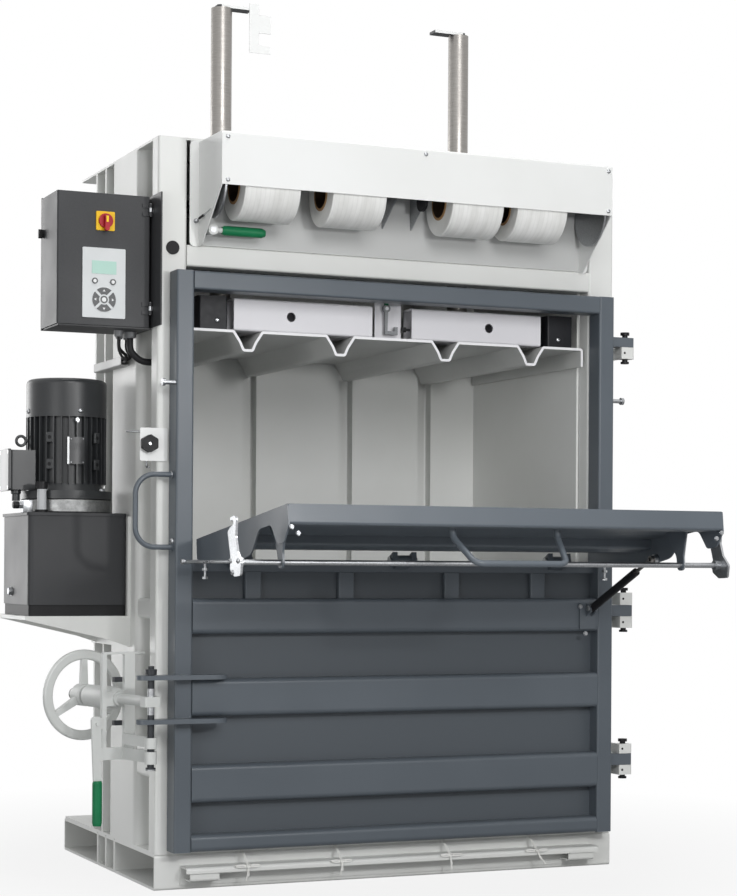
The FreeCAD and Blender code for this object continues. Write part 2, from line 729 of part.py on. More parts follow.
def make_fork():
    """Two flat fork plates on the door that carry the screw lock on one upright bolt."""
    plates = []
    across = (fork_x - fork_tail, fork_x + fork_reach)
    for low, high in fork_plates_z:
        plate = prism(rectangle(across, (door_front_y - fork_depth, door_front_y)), "z",
                      (low, high), [22.0, 40.0, 0, 22.0])
        plates.append(plate.cut(rod((fork_x, fork_y, low - 1), (0, 0, 1), fork_bolt_radius + running_gap,
                                    high - low + 2)))
    keep("lock_fork", *plates)
    low, high = guide_arms_z[1][0] - 9, fork_plates_z[1][1] + 2
    bolt = turned([(0, low - 8), (13, low - 8), (13, low), (fork_bolt_radius, low), (fork_bolt_radius, high),
                   (15, high), (15, high + 14), (8, high + 14), (8, high + 22), (0, high + 22)],
                  (fork_x, fork_y, 0))
    return bolt


def on_arm(shape):
    """From the lock arm's own frame, along +Y from its bolt, to its place."""
    return moved(spun(shape, (0, 0, 0), (0, 0, 1), arm_angle), fork_x, fork_y, 0)


guide_arms_z = ((383.0, 411.0), (343.0, 375.0))
guide_eye_radius = 16.0
sleeve_radius = 30.0
grip_low_z = 172.0
grip_high_z = 290.0
lever_pivot = (-70.0, 440.0)
lever_pin_radius = 5.0


def make_lock_arm():
    """Screw spindle with its block, sleeve, gate, guide arms and the lever's ear; then the lever itself."""
    bolt_gap = fork_bolt_radius + running_gap
    gate_back = gate_at + gate_thick
    head = prism(rectangle((-25, 22), (-15, 15)), "z", (spindle_z - 13, spindle_z + 13), 5.0)
    spindle = rod((0, 10, spindle_z), (0, 1, 0), spindle_radius, wheel_at + wheel_hub_half)
    collar = rod((0, gate_at - 9, spindle_z), (0, 1, 0), 20.0, 9.0)
    sleeve_end = wheel_at - wheel_hub_half - 8
    sleeve = turned([(0, gate_back), (sleeve_radius - 3, gate_back), (sleeve_radius, gate_back + 8),
                     (sleeve_radius, sleeve_end - 8), (sleeve_radius - 6, sleeve_end), (0, sleeve_end)],
                    (0, 0, spindle_z), (0, 1, 0))
    core = joined(head, spindle, collar, sleeve).cut(rod((0, 0, spindle_z - 20), (0, 0, 1), bolt_gap, 40))
    foot_z = guide_arms_z[1]
    gate = prism(rectangle((gate_left, gate_right), (foot_z[0], gate_top_z)), "y", (gate_at, gate_back), 8.0)
    window = rectangle(gate_window, (foot_z[1], gate_top_z - 6))
    gate = gate.cut(prism(window, "y", (gate_at - 1, gate_back + 1), 4.0))
    web_half = spindle_radius + 6
    web = prism(rectangle((gate_window[0] - 2, gate_window[1] + 2), (spindle_z - web_half, spindle_z + web_half)),
                "y", (gate_at, gate_back))
    latch_pin = rod((gate_right - 8, gate_at + gate_thick / 2, gate_top_z - 4), (1, 0, 0), 4.0, 40)
    arms = []
    for low, high in guide_arms_z:
        arm = block((10, 18), (0, gate_at + 2), (low, high))
        eye = ring(bolt_gap, guide_eye_radius, low, high, (0, 0, 0))
        arms.append(joined(arm, eye).cut(rod((0, 0, low - 1), (0, 0, 1), bolt_gap, high - low + 2)))
    foot = block((gate_left - 10, gate_right), (gate_at, gate_at + 8), foot_z)
    ear_x, ear_z = lever_pivot
    ear = block((ear_x - 12, gate_left + 2), (gate_at, gate_at + 6), (ear_z - 14, ear_z + 14))
    pin = rod((ear_x, gate_at - 12, ear_z), (0, 1, 0), lever_pin_radius, 14)
    frame = joined(gate, web, latch_pin, foot, ear, pin, *arms).cut(core)
    pads = [block((gate_window[1] - 24, gate_window[1] + 2), (gate_back, gate_back + gate_thick), (z, z + 13))
            for z in (547, 432)]
    face = gate_at - 0.3
    grip_x = ear_x + 3
    blade = prism([(ear_x - 17, ear_z + 19), (grip_x - 12, grip_high_z), (grip_x + 12, grip_high_z),
                   (ear_x + 13, ear_z + 19)], "y", (face - 6, face), [10.0, 0, 0, 10.0])
    blade = blade.cut(rod((ear_x, face - 10, ear_z), (0, 1, 0), lever_pin_radius + running_gap, 20))
    tang = rod((grip_x, face - 3, grip_low_z + 20), (0, 0, 1), 3.0, grip_high_z - grip_low_z - 20)
    blade = joined(blade, tang)
    grip = turned([(0, grip_low_z), (11, grip_low_z), (13, grip_low_z + 8), (13, grip_high_z - 5),
                   (11, grip_high_z), (0, grip_high_z)], (grip_x, face - 3, 0)).cut(blade)
    keep("lock_lever", on_arm(blade), on_arm(grip))
    return [on_arm(shape) for shape in (core, frame, *pads)]


def make_handwheel():
    """Three-spoke handwheel on the spindle's end, its nut, cap and end disc."""
    base = (0, wheel_at, spindle_z)
    half_depth = wheel_rim_depth / 2
    rim = ring(wheel_radius - wheel_rim_width, wheel_radius, -half_depth, half_depth, base, (0, 1, 0), 6.0)
    hub = ring(spindle_radius + running_gap, wheel_hub_radius, -wheel_hub_half, wheel_hub_half, base, (0, 1, 0),
               [0, 4.0, 4.0, 0])
    inner, outer = wheel_hub_radius - 4, wheel_radius - wheel_rim_width + 4
    spoke = prism([(-11, inner), (11, inner), (8, outer), (-8, outer)], "y", (wheel_at - 6, wheel_at + 6))
    spoke = moved(spoke, z=spindle_z)
    spokes = [spun(spoke, base, (0, 1, 0), 120 * i) for i in range(3)]
    keep("handwheel", on_arm(joined(rim, hub, *spokes)))
    start = wheel_at + wheel_hub_half + 0.5
    nut = prism([(22 * cos(radians(60 * i)), spindle_z + 22 * sin(radians(60 * i))) for i in range(6)],
                "y", (start, start + 13))
    nut = nut.cut(rod((0, wheel_at, spindle_z), (0, 1, 0), spindle_radius, 60))
    cap = turned([(0, start + 13), (20, start + 13), (20, start + 20), (16, start + 23), (16, start + 31),
                  (0, start + 31)], (0, 0, spindle_z), (0, 1, 0))
    return [on_arm(nut), on_arm(cap)]


def opened(shape):
    return spun(shape, (0, flap_hinge_y, flap_hinge_z), (1, 0, 0), flap_open_angle)


def uv(u, v):
    """Point of the closed flap as (Y, Z): u up from the hinge, v into the machine."""
    return (flap_hinge_y + v, flap_hinge_z + u)


rear_lip_u = 16.0


def make_flap():
    """Loading flap: recessed tray with deep side plates, hinge lugs, rod brackets and handle."""
    half, sheet = flap_half_width, flap_sheet
    inside = half - sheet
    side_outline = [uv(rear_lip_u, flap_wall), uv(flap_length, flap_wall), uv(flap_length, -4), uv(640, -38),
                    uv(596, -38), uv(560, 14), uv(478, 14), uv(420, -40), uv(330, -46), uv(60, -16),
                    uv(rear_lip_u, -4)]
    side = prism(side_outline, "x", (-half, -inside), [0, 4.0, 6.0, 16.0, 16.0, 30.0, 40.0, 60.0, 30.0, 20.0, 6.0])
    tray = folded_sheet([uv(rear_lip_u, flap_wall), uv(rear_lip_u, flap_skin_v), uv(flap_length - 40, flap_skin_v),
                         uv(flap_length - 40, 0), uv(flap_length, 0), uv(flap_length, flap_wall)][::-1],
                        sheet, "x", (-inside, inside), 3.0)
    rail_low, rail_high = 240.0, 320.0
    rail = folded_sheet([uv(rail_low, flap_skin_v), uv(rail_low, 0), uv(rail_high, 0), uv(rail_high, flap_skin_v)],
                        sheet, "x", (-inside, inside), 3.0)
    flap = opened(joined(tray, side, mirrored(side), rail))
    lugs, door_lugs, pins = [], [], []
    behind = door_front_y + door_skin_y - sill_depth - flap_hinge_y
    for x in flap_hinges_x:
        for start in (x - 36.0, x + 21.0):
            lug = prism([uv(0, -flap_lug_radius), uv(rear_lip_u, -6), uv(rear_lip_u, 20), uv(0, flap_lug_radius)],
                        "x", (start, start + 15))
            eye = rod((start, flap_hinge_y, flap_hinge_z), (1, 0, 0), flap_lug_radius, 15)
            hole = rod((start - 1, flap_hinge_y, flap_hinge_z), (1, 0, 0), flap_pin_radius + running_gap, 17)
            lugs.append(opened(joined(lug, eye).cut(hole)))
        tongue = prism([uv(-8, -10), uv(-14, -8), uv(-26, behind), uv(-8, behind),
                        uv(8, 10)], "x", (x - 20, x + 20))
        eye = rod((x - 20, flap_hinge_y, flap_hinge_z), (1, 0, 0), flap_lug_radius, 40)
        hole = rod((x - 21, flap_hinge_y, flap_hinge_z), (1, 0, 0), flap_pin_radius + running_gap, 42)
        door_lugs.append(joined(tongue, eye).cut(hole))
        pins.append(turned([(0, 0), (10, 0), (10, 4), (flap_pin_radius, 4), (flap_pin_radius, 84), (0, 84)],
                           (x - 41, flap_hinge_y, flap_hinge_z), (1, 0, 0)))
    keep("flap_tray", flap, *lugs)
    y_grip, z_grip = uv(694, -92)
    y_foot, z_foot = uv(616, flap_skin_v - 0.3)
    handle = bent_tube([(-145, y_foot, z_foot), (-145, y_foot - 40, z_foot), (-125, y_grip, z_grip),
                        (125, y_grip, z_grip), (145, y_foot - 40, z_foot), (145, y_foot, z_foot)], 8.0, 26.0)
    keep("flap_handle", opened(handle))
    return pins, door_lugs


def make_flap_lock():
    """Cross rod with a catch hook at each end, in four eyed brackets under the flap."""
    y, z = uv(lock_rod_u, lock_rod_v)
    hook_x = -door_half_width - 19
    reach = hypot(striker_z - z, flap_hinge_y - y)
    angle = atan2(flap_hinge_y - y, striker_z - z) - radians(lock_turn)
    slot = striker_radius + hook_gap
    outer = reach + slot + 9
    brackets = []
    bracket_x = flap_half_width - 38
    for x in (-bracket_x, bracket_x):
        plate = prism([uv(lock_rod_u - 62, flap_skin_v), uv(lock_rod_u - 16, lock_rod_v + 24),
                       uv(lock_rod_u - 16, lock_rod_v - 14), uv(lock_rod_u + 16, lock_rod_v - 14),
                       uv(lock_rod_u + 16, lock_rod_v + 24), uv(lock_rod_u + 40, flap_skin_v)],
                      "x", (x - 3, x + 3), [0, 30.0, 14.0, 14.0, 30.0, 0])
        brackets.append(opened(plate.cut(rod((x - 4, y, z), (1, 0, 0), lock_rod_radius + running_gap, 8))))

    def polar(radius, turn):
        spread = angle + radians(turn)
        return (y + radius * sin(spread), z + radius * cos(spread))

    inner_r, mid_r = reach - slot, reach + slot
    outline = [polar(34, 110), polar(30, 50), polar(inner_r - 14, 24), polar(inner_r - 2, 22), polar(inner_r, 8),
               polar(inner_r, -2.5), polar(reach, -8), polar(mid_r, -2.5), polar(mid_r, 5), polar(outer, 6),
               polar(outer, -10), polar(outer - 8, -17), polar(60, -17), polar(32, -48), polar(46, -100),
               polar(52, -140), polar(34, 170)]
    hook = prism(outline, "x", (hook_x - 6, hook_x), [8, 8, 8, 3, 0, 0, 0, 0, 1, 2, 5, 5, 12, 10, 8, 8, 8])
    hub = ring(0, 13, 0, 14, (hook_x, y, z), (1, 0, 0))
    bar = rod((hook_x, y, z), (1, 0, 0), lock_rod_radius, -2 * hook_x)
    other = mirrored(hook.fuse(hub))
    keep("flap_lock_rod", opened(joined(hook, hub, bar, other)))
    strikers = [turned([(0, 0), (striker_radius, 0), (striker_radius, 28), (10, 28), (10, 36), (0, 36)],
                       (side * door_half_width, flap_hinge_y, striker_z), (side, 0, 0)) for side in (-1, 1)]
    return strikers, brackets


def gas_spring_points():
    """Lower pivot, and the upper pivot with the flap open and closed, as (Y, Z)."""
    high = uv(gas_high_u, gas_high_v)
    turn = radians(flap_open_angle)
    dy, dz = high[0] - flap_hinge_y, high[1] - flap_hinge_z
    rest = (flap_hinge_y + dy * cos(turn) - dz * sin(turn), flap_hinge_z + dy * sin(turn) + dz * cos(turn))
    return (gas_low_y, gas_low_z), rest, high


def make_gas_spring():
    """Gas spring on the right that holds the flap: tube on the door, rod to the flap."""
    low, rest, closed = gas_spring_points()
    dy, dz = rest[0] - low[0], rest[1] - low[1]
    end = hypot(dy, dz)
    lean = degrees(atan2(-dy, dz))

    def leaned(shape):
        return spun(shape, (0, low[0], low[1]), (1, 0, 0), lean)

    base = (gas_x, low[0], low[1])
    bore = gas_rod_radius + running_gap
    tube = turned([(0, 14), (gas_tube_radius, 14), (gas_tube_radius, gas_tube_length), (bore, gas_tube_length),
                   (bore, gas_tube_length - 12), (gas_tube_radius - 2, gas_tube_length - 12),
                   (gas_tube_radius - 2, 22), (0, 22)], base)
    eye = rod((gas_x - 5, low[0], low[1]), (1, 0, 0), 10.0, 10)
    hole = rod((gas_x - 6, low[0], low[1]), (1, 0, 0), 5 + running_gap, 12)
    neck = rod(base, (0, 0, 1), 6.0, 15)
    keep("gas_tube", leaned(joined(tube, eye, neck).cut(hole)))
    plunger = turned([(0, 60), (gas_tube_radius - 2 - running_gap, 60), (gas_tube_radius - 2 - running_gap, 68),
                      (gas_rod_radius, 68), (gas_rod_radius, end - 8), (0, end - 8)], base)
    top = rod((gas_x - 5, low[0], low[1] + end), (1, 0, 0), 10.0, 10)
    top_hole = rod((gas_x - 6, low[0], low[1] + end), (1, 0, 0), 5 + 0.3, 12)
    keep("gas_rod", leaned(joined(plunger, top).cut(top_hole)))
    inside = flap_half_width - flap_sheet
    y, z = closed
    stud = turned([(0, 0), (13, 0), (13, inside - gas_x - 5.5), (0, inside - gas_x - 5.5)],
                  (gas_x + 5.5, y, z), (1, 0, 0))
    foot = block((gas_x - 30, gas_x + 20), (door_front_y - 6, door_front_y), (low[1] - 58, low[1] + 16))
    cheeks = [prism([(door_front_y, low[1] - 26), (low[0] - 10, low[1] - 10), (low[0] - 10, low[1] + 10),
                     (door_front_y, low[1] + 14)], "x", (x, x + 5), [0, 8.0, 8.0, 0])
              for x in (gas_x - 11.0, gas_x + 6.0)]
    cheeks = [cheek.cut(rod((gas_x - 20, low[0], low[1]), (1, 0, 0), 5 + running_gap, 40)) for cheek in cheeks]
    pin = turned([(0, 0), (8, 0), (8, 4), (5, 4), (5, 30), (0, 30)], (gas_x - 15, low[0], low[1]), (1, 0, 0))
    return pin, joined(foot, *cheeks), opened(stud)


def make_control_box():
    """Box on the left post: fixed back, cheek and bottom; hinged cover with front, side and top."""
    sheet = box_sheet
    cheek_x = -half_width - 4
    back = block((box_left_x, cheek_x), (box_rear_y + 0.3, box_rear_y + 6), (box_low_z, box_high_z + 3))
    cheek = block((cheek_x, -half_width), (base_front_y - 36, box_rear_y + 6), (box_low_z + 5, box_high_z + 3))
    bottom = block((box_left_x + sheet + 1, cheek_x), (box_front_y + sheet + 1, box_rear_y + 0.3),
                   (box_low_z, box_low_z + 4))
    keep("control_back", joined(back, cheek, bottom))
    outline = rectangle((box_left_x, box_right_x), (box_front_y, box_rear_y))
    outer = prism(outline, "z", (box_low_z + 4.5, box_high_z), [5.0, 3.0, 0, 0])
    inner = prism(rectangle((box_left_x + sheet, box_right_x + 1), (box_front_y + sheet, box_rear_y + 1)),
                  "z", (box_low_z, box_high_z - sheet), [2.0, 0, 0, 0])
    cover = outer.cut(inner)
    hinge = (-half_width - 10, box_front_y - 6)
    leaves, pins = [], []
    for low in (box_low_z + cover_hinge_insets[0], box_high_z - cover_hinge_insets[1]):
        for start in (low, low + 22):
            barrel = ring(cover_pin_radius + running_gap, 5.5, start, start + 10, (hinge[0], hinge[1], 0))
            leaf = block((hinge[0] - 22, hinge[0]), (box_front_y - 3, box_front_y), (start, start + 10))
            cut = rod((hinge[0], hinge[1], start - 1), (0, 0, 1), cover_pin_radius + running_gap, 12)
            leaves.append(joined(barrel, leaf).cut(cut))
        pin = rod((hinge[0], hinge[1], low - 1), (0, 0, 1), cover_pin_radius, 34)
        fixed = ring(cover_pin_radius, 5.5, low + 10.5, low + 21.5, (hinge[0], hinge[1], 0))
        plate = block((hinge[0] + 2, cheek_x), (hinge[1] - 1.5, hinge[1] + 1.5), (low + 10.5, low + 21.5))
        pins.append(joined(pin, fixed, plate))
    keep("control_cover", cover, *leaves)
    latch_y, latch_z = box_rear_y - 20, box_high_z - latch_drop
    base = (box_left_x, latch_y, latch_z)
    latch = turned([(0, 0.3), (11, 0.3), (11, 5), (0, 5)], base, (-1, 0, 0))
    wing = prism(rectangle((latch_y - 4, latch_y + 4), (latch_z - 12, latch_z + 12)), "x",
                 (box_left_x - 14, box_left_x - 4), 3.0)
    keep("cover_latch", joined(latch, wing))
    front = box_front_y
    pad = prism(rectangle((keypad_x, keypad_x + keypad_width), (keypad_z, keypad_z + keypad_height)), "y",
                (front - 4, front), 3.0)
    screen = block((keypad_x + 25, keypad_x + 91), (front - 5, front - 3), (keypad_z + 115, keypad_z + 149))
    buttons = [rod((keypad_x + across, front - 3, keypad_z + up), (0, -1, 0), 8.0, 3.0)
               for across, up in ((33, 96), (82, 95))]
    cross = turned([(0, 0), (33, 0), (33, 1.2), (32, 1.7), (0, 1.7)],
                   (keypad_x + keypad_width / 2, front - 3.5, keypad_z + 48), (0, -1, 0))
    buttons = [button.cut(pad) for button in buttons]
    keep("keypad", pad.cut(screen).cut(cross), cross, screen, *buttons)
    x, z, half = main_switch_x, main_switch_z, main_switch_half
    plate = prism(rectangle((x - half, x + half), (z - half, z + half)), "y", (front - 5, front), 3.0)
    keep("main_switch_plate", plate)
    knob = turned([(0, 0), (19, 0), (19, 6), (0, 6)], (x, front - 5.3, z), (0, -1, 0))
    bar = prism(rectangle((x - 6, x + 6), (z - 27, z + 14)), "y", (front - 24, front - 11), 4.0)
    keep("main_switch_knob", joined(knob, bar))
    return pins


def make_power_unit():
    """Oil tank on its bracket, with its filler."""
    tank = prism(rectangle((tank_left_x, tank_right_x), (tank_front_y, tank_rear_y)), "z",
                 (tank_low_z + tank_foot_height, tank_high_z - tank_lid_thick), 14.0)
    lid = prism(rectangle((tank_left_x - 4, tank_right_x), (tank_front_y - 4, tank_rear_y + 4)), "z",
                (tank_high_z - tank_lid_thick, tank_high_z), 14.0)
    foot = prism(rectangle((tank_left_x + 3, tank_right_x), (tank_front_y + 3, tank_rear_y - 3)), "z",
                 (tank_low_z, tank_low_z + tank_foot_height), 12.0)
    keep("oil_tank", joined(tank, lid), foot)
    shelf_low, web_low = tank_low_z - bracket_thick, tank_low_z - bracket_web
    shelf = block((tank_left_x - 12, -half_width), (tank_front_y - 8, tank_rear_y + 8), (shelf_low, tank_low_z))
    web_points = [(-half_width, web_low), (-half_width, shelf_low), (tank_left_x - 12, shelf_low),
                  (-half_width - 65, web_low + 21)]
    webs = [prism(web_points, "y", (y, y + 6)) for y in (tank_front_y - 8, tank_rear_y + 2)]
    backing = block((tank_right_x, -half_width), (tank_front_y - 8, tank_rear_y + 55),
                    (web_low, tank_high_z - tank_lid_thick))
    keep("tank_bracket", joined(shelf, backing, *webs))
    keep("oil_filler", turned([(0, tank_high_z), (18, tank_high_z), (18, tank_high_z + 8), (12.5, tank_high_z + 8),
                               (12.5, tank_high_z + 63), (16, tank_high_z + 65), (16, tank_high_z + 83),
                               (0, tank_high_z + 87)], (tank_left_x + 43, tank_front_y + 32, 0)))


bell_height = 39.0
motor_flange_height = 22.0
motor_flange_step = 20.0
motor_fin_height = 182.0
cowl_height = 104.0
cowl_sheet = 3.0
shaft_radius = 14.0
box_standoff = 65.0
terminal_box_half = 48.0
terminal_box_height = 108.0


def make_motor():
    """Upright flange motor on the bell housing: finned stator, rotor with fan, pierced cowl, terminal box."""
    base = (motor_x, motor_y, 0)
    flange_low = tank_high_z + bell_height
    flange_top = flange_low + motor_flange_height
    fins_low = flange_top + motor_flange_step
    fins_top = fins_low + motor_fin_height
    cowl_top = fins_top + cowl_height
    keep("bell_housing", ring(0, motor_flange_radius - 2, tank_high_z, flange_low, base, (0, 0, 1),
                              [0, 5.0, 5.0, 0]))
    bore, bearing = shaft_radius + running_gap, fins_top - 18
    shell = turned([(bore, flange_low), (motor_flange_radius, flange_low), (motor_flange_radius, flange_top),
                    (stator_radius + 6, flange_top), (stator_radius, fins_low), (stator_radius, fins_top),
                    (bore, fins_top), (bore, bearing), (rotor_radius + air_gap, bearing),
                    (rotor_radius + air_gap, flange_top), (bore, flange_top)], base)
    fin = block((stator_radius - 2, motor_radius), (-1.6, 1.6), (fins_low, fins_top))
    fins = [moved(spun(fin, (0, 0, 0), (0, 0, 1), i * 360.0 / fin_count), motor_x, motor_y, 0)
            for i in range(fin_count)]
    keep("motor_body", joined(shell, *fins))
    fan_low = fins_top + 22
    rotor = turned([(0, flange_low + 0.3), (shaft_radius, flange_low + 0.3), (shaft_radius, flange_top + 10),
                    (rotor_radius, flange_top + 10), (rotor_radius, bearing - 10), (shaft_radius, bearing - 10),
                    (shaft_radius, fan_low), (28, fan_low), (28, fan_low + 18), (0, fan_low + 18)], base)
    blade = block((20, stator_radius - 10), (-1.5, 1.5), (fan_low, fan_low + 36))
    blades = [moved(spun(blade, (0, 0, 0), (0, 0, 1), i * 60.0), motor_x, motor_y, 0) for i in range(6)]
    keep("motor_rotor", joined(rotor, *blades))
    inside = motor_radius - cowl_sheet
    cowl = turned([(motor_radius, fins_top), (motor_radius, cowl_top), (0, cowl_top + 8), (0, cowl_top + 5),
                   (inside, cowl_top - cowl_sheet), (inside, fins_top)], base, (0, 0, 1), [0, 14.0, 0, 0, 11.0, 0])
    slots = []
    for radius in (34.0, 52.0, 70.0):
        band = ring(radius, radius + 7, cowl_top - 20, cowl_top + 20, base)
        for i in range(3):
            bridge = block((-4, motor_radius), (-4, 4), (cowl_top - 21, cowl_top + 21))
            band = band.cut(moved(spun(bridge, (0, 0, 0), (0, 0, 1), i * 120.0), motor_x, motor_y, 0))
        slots.append(band)
    keep("motor_cowl", pierced(cowl, *slots))
    left, right = motor_x - motor_radius - box_standoff, motor_x - stator_radius + 8
    low, high = flange_top + 2, flange_top + 2 + terminal_box_height
    half = terminal_box_half
    case = prism(rectangle((left + 8, right), (motor_y - half, motor_y + half)), "z", (low, high), 6.0)
    case = case.cut(rod((motor_x, motor_y, low - 20), (0, 0, 1), motor_radius + 0.3, terminal_box_height + 40))
    lid = prism(rectangle((motor_y - half - 2, motor_y + half + 2), (low - 3, high + 3)), "x",
                (left, left + 8), 6.0)
    gland = turned([(0, low - 30), (11, low - 30), (11, low - 12), (14, low - 10), (14, low), (0, low)],
                   (left + 29, motor_y - 20, 0))
    ring_z = high + 27
    eye = Part.makeTorus(13, 4, V(motor_x - motor_radius - 17.5, motor_y, ring_z), V(0, 1, 0))
    stub = rod((motor_x - motor_radius, motor_y, ring_z), (-1, 0, 0), 5.0, 4)
    keep("terminal_box", case, lid, gland, joined(eye, stub))


tray_y = (-190.0, 70.0)
tray_z = (1402.0, 1427.0)
thin_gland = (-762.0, -330.0)
thick_gland = (-722.0, -304.0)
conduit_glands = ((-742.0, -270.0), (-718.0, -260.0))
conduit_ends_x = (-705.5, -694.0)
gland_height = 16.0


def make_leads():
    """Leads from the control box: one to the recess, two conduits and one lead to the side tray."""
    tray = folded_sheet([(-half_width, tray_z[1]), (-half_width - 26, tray_z[1]), (-half_width - 26, tray_z[0]),
                         (-half_width, tray_z[0])], 2.0, "y", tray_y, 2.0)
    glands = []
    gland_low = box_low_z - gland_height
    for (x, y), radius in zip((thin_gland, thick_gland, *conduit_glands), (10.0, 15.0, 8.0, 8.0)):
        glands.append(turned([(0, gland_low), (radius, gland_low), (radius + 2, gland_low + 4),
                              (radius + 2, box_low_z), (0, box_low_z)], (x, y, 0)))
    keep("cable_tray", tray, *glands)
    start = gland_low - 0.6
    thick = bent_tube([(*thick_gland, start), (*thick_gland, start - 34), (-692, -308, start - 62),
                       (-650, -314, start - 62), (-post_inner_x - 2.5, -318, start - 54)], 9.0, 0)
    thin = bent_tube([(*thin_gland, start), (thin_gland[0], thin_gland[1] + 2, start - 30),
                      (-742, -290, start - 46), (-712, -240, start - 52), (-703, tray_y[0] + 6, start - 54.5)], 3.5, 0)
    conduits = [bent_tube([(x, y, start), (x, y + 3, start - 24), (x_end, y + 36, start - 43),
                           (x_end, tray_y[0] + 10, start - 45)], 4.5, 0)
                for (x, y), x_end in zip(conduit_glands, conduit_ends_x)]
    keep("control_leads", thick, thin, *conduits)


grip_plate_z = (1130.0, 1217.0)
grip_plate_width = 75.0
star_radius = 24.0
stud_radius = 5.0
wire_radius = 2.5


def make_switch_plate():
    """White plate on the left post with the star grip and its rod."""
    y, (low, high) = base_front_y - 1, grip_plate_z
    right = -door_half_width - 5
    left, knob_x, knob_z = right - grip_plate_width, right - 52, low + 45
    plate = prism(rectangle((left, right), grip_plate_z), "y", (y - 5, y + 1), 4.0)
    stud = rod((knob_x, y - 20, knob_z), (0, 1, 0), stud_radius, 15)
    arm = rod((left - 37, y - 3, high - 11), (1, 0, 0), wire_radius, 37)
    hook = bent_tube([(knob_x - 4, y - 2, low - 0.2), (knob_x - 4, y - 2, low - 16),
                      (knob_x - 4, y - 20, low - 18)], wire_radius, 2 * wire_radius)
    keep("switch_plate", plate, arm, hook, stud)
    lobes = [(knob_x + star_radius * cos(radians(60 * i + 30)),
              knob_z + star_radius * sin(radians(60 * i + 30))) for i in range(6)]
    knob = prism(lobes, "y", (y - 26, y - 5.5), 5.0)
    keep("star_grip", knob.cut(rod((knob_x, y - 30, knob_z), (0, 1, 0), stud_radius + running_gap, 40)))


def make_all():
    make_base()
    make_strap_bar()
    plug = make_posts()
    make_side_walls()
    make_rear()
    make_top()
    make_cylinders()
    make_centre_lever(make_press())
    make_hood()
    band_pin = make_band_lever()
    make_door()
    hinge_pins, hinge_arms = make_hinges()
    make_door_handle()
    fork_bolt = make_fork()
    keep("lock_arm", *make_lock_arm(), *make_handwheel())
    flap_pins, hinge_eyes = make_flap()
    strikers, rod_brackets = make_flap_lock()
    gas_pin, gas_bracket, gas_stud = make_gas_spring()
    keep("door_fittings", gas_bracket, *hinge_arms, *hinge_eyes)
    keep("flap_brackets", gas_stud, *rod_brackets)
    cover_pins = make_control_box()
    make_power_unit()
    make_motor()
    make_leads()
    make_switch_plate()
    keep("frame_pins", plug, band_pin, *hinge_pins, *cover_pins)
    keep("door_pins", fork_bolt, gas_pin, *flap_pins, *strikers)


make_all()
os.makedirs("parts", exist_ok=True)
for name, shape in nodes.items():
    if not shape.isValid():
        print("not valid:", name)
    shape.exportStep("parts/%s.step" % name)
print(len(nodes), "nodes,", sum(len(shape.Solids) for shape in nodes.values()), "solids")
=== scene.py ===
"""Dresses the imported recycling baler: a finish for every CAD piece, its small fittings, the camera, a studio.
Places are in millimetres in the model's own frame, front towards -Y and +Z up. MM turns them into metres."""
from math import cos, pi, radians, sin

import bmesh
import bpy
from mathutils import Matrix, Vector


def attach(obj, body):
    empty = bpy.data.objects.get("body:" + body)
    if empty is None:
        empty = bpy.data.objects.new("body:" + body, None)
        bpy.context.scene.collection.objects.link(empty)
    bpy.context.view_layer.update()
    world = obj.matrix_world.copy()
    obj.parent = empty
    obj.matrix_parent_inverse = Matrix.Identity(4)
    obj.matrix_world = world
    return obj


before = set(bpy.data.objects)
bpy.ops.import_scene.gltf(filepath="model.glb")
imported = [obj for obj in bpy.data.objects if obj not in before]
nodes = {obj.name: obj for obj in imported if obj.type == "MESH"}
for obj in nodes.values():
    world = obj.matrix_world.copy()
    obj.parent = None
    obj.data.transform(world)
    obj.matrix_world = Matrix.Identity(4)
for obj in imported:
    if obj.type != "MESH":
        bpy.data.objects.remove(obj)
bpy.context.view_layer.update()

MM = 0.001
FRONT, LEFT, RIGHT, UP, DOWN = (0, -1, 0), (-1, 0, 0), (1, 0, 0), (0, 0, 1), (0, 0, -1)
CORNERS = ((-1, -1), (1, -1), (1, 1), (-1, 1))

# ---- places that repeat the CAD's, in millimetres ----
hood_front_y = -620.0
roll_y, roll_z, roll_core_radius, roll_core_wall = -524.5, 1850.0, 45.0, 6.5
motor_x, motor_y, motor_radius = -828.0, -60.0, 110.0
flange_top_z, cowl_low_z = 1058.0, 1260.0
tank_left_x, tank_top_z = -968.0, 997.0
box_front_y = -396.0
keypad_ring_x, keypad_ring_z = -823.0, 1551.0
keypad_front_y = box_front_y - 5.2
ledge_front_y, ledge_top_z = -492.0, 64.0
flap_hinge_y, flap_hinge_z, flap_open_angle = -488.0, 875.0, 83.25
lock_nut_x, lock_nut_y = (-782, -752.6), (-362, -338)
bolt_x = (-760, -700)

# ---- zones of a CAD piece that wear another finish, as limits in millimetres; some of them hold painted shade, a painted shadow or a painted highlight ----
# painted shade: the back panel behind the rolls is painted a darker grey
back_panel_painted_shade = {"Z": (1706, 1982)}
# painted highlight: the press plate's front edge is painted near white
press_plate_edge_painted_highlight = {"Y": (-421, -419.5)}
# painted shade: the door's recessed skin between its rails is painted darker than the rails
door_skin_painted_shade = {"X": (-606.5, 606.5), "Y": (-457, -449), "Z": (150, 860)}
# painted shadow: a black strip low on the oil tank, under its bracket
tank_bracket_painted_shadow = {"Z": (716, 748.2)}
terminal_screws = [{"X": (-1004, -1002.5), "Y": (y - 4.5, y + 4.5), "Z": (z - 4.5, z + 4.5)}
                   for y in (motor_y - 42, motor_y + 42) for z in (flange_top_z + 8, flange_top_z + 104)]
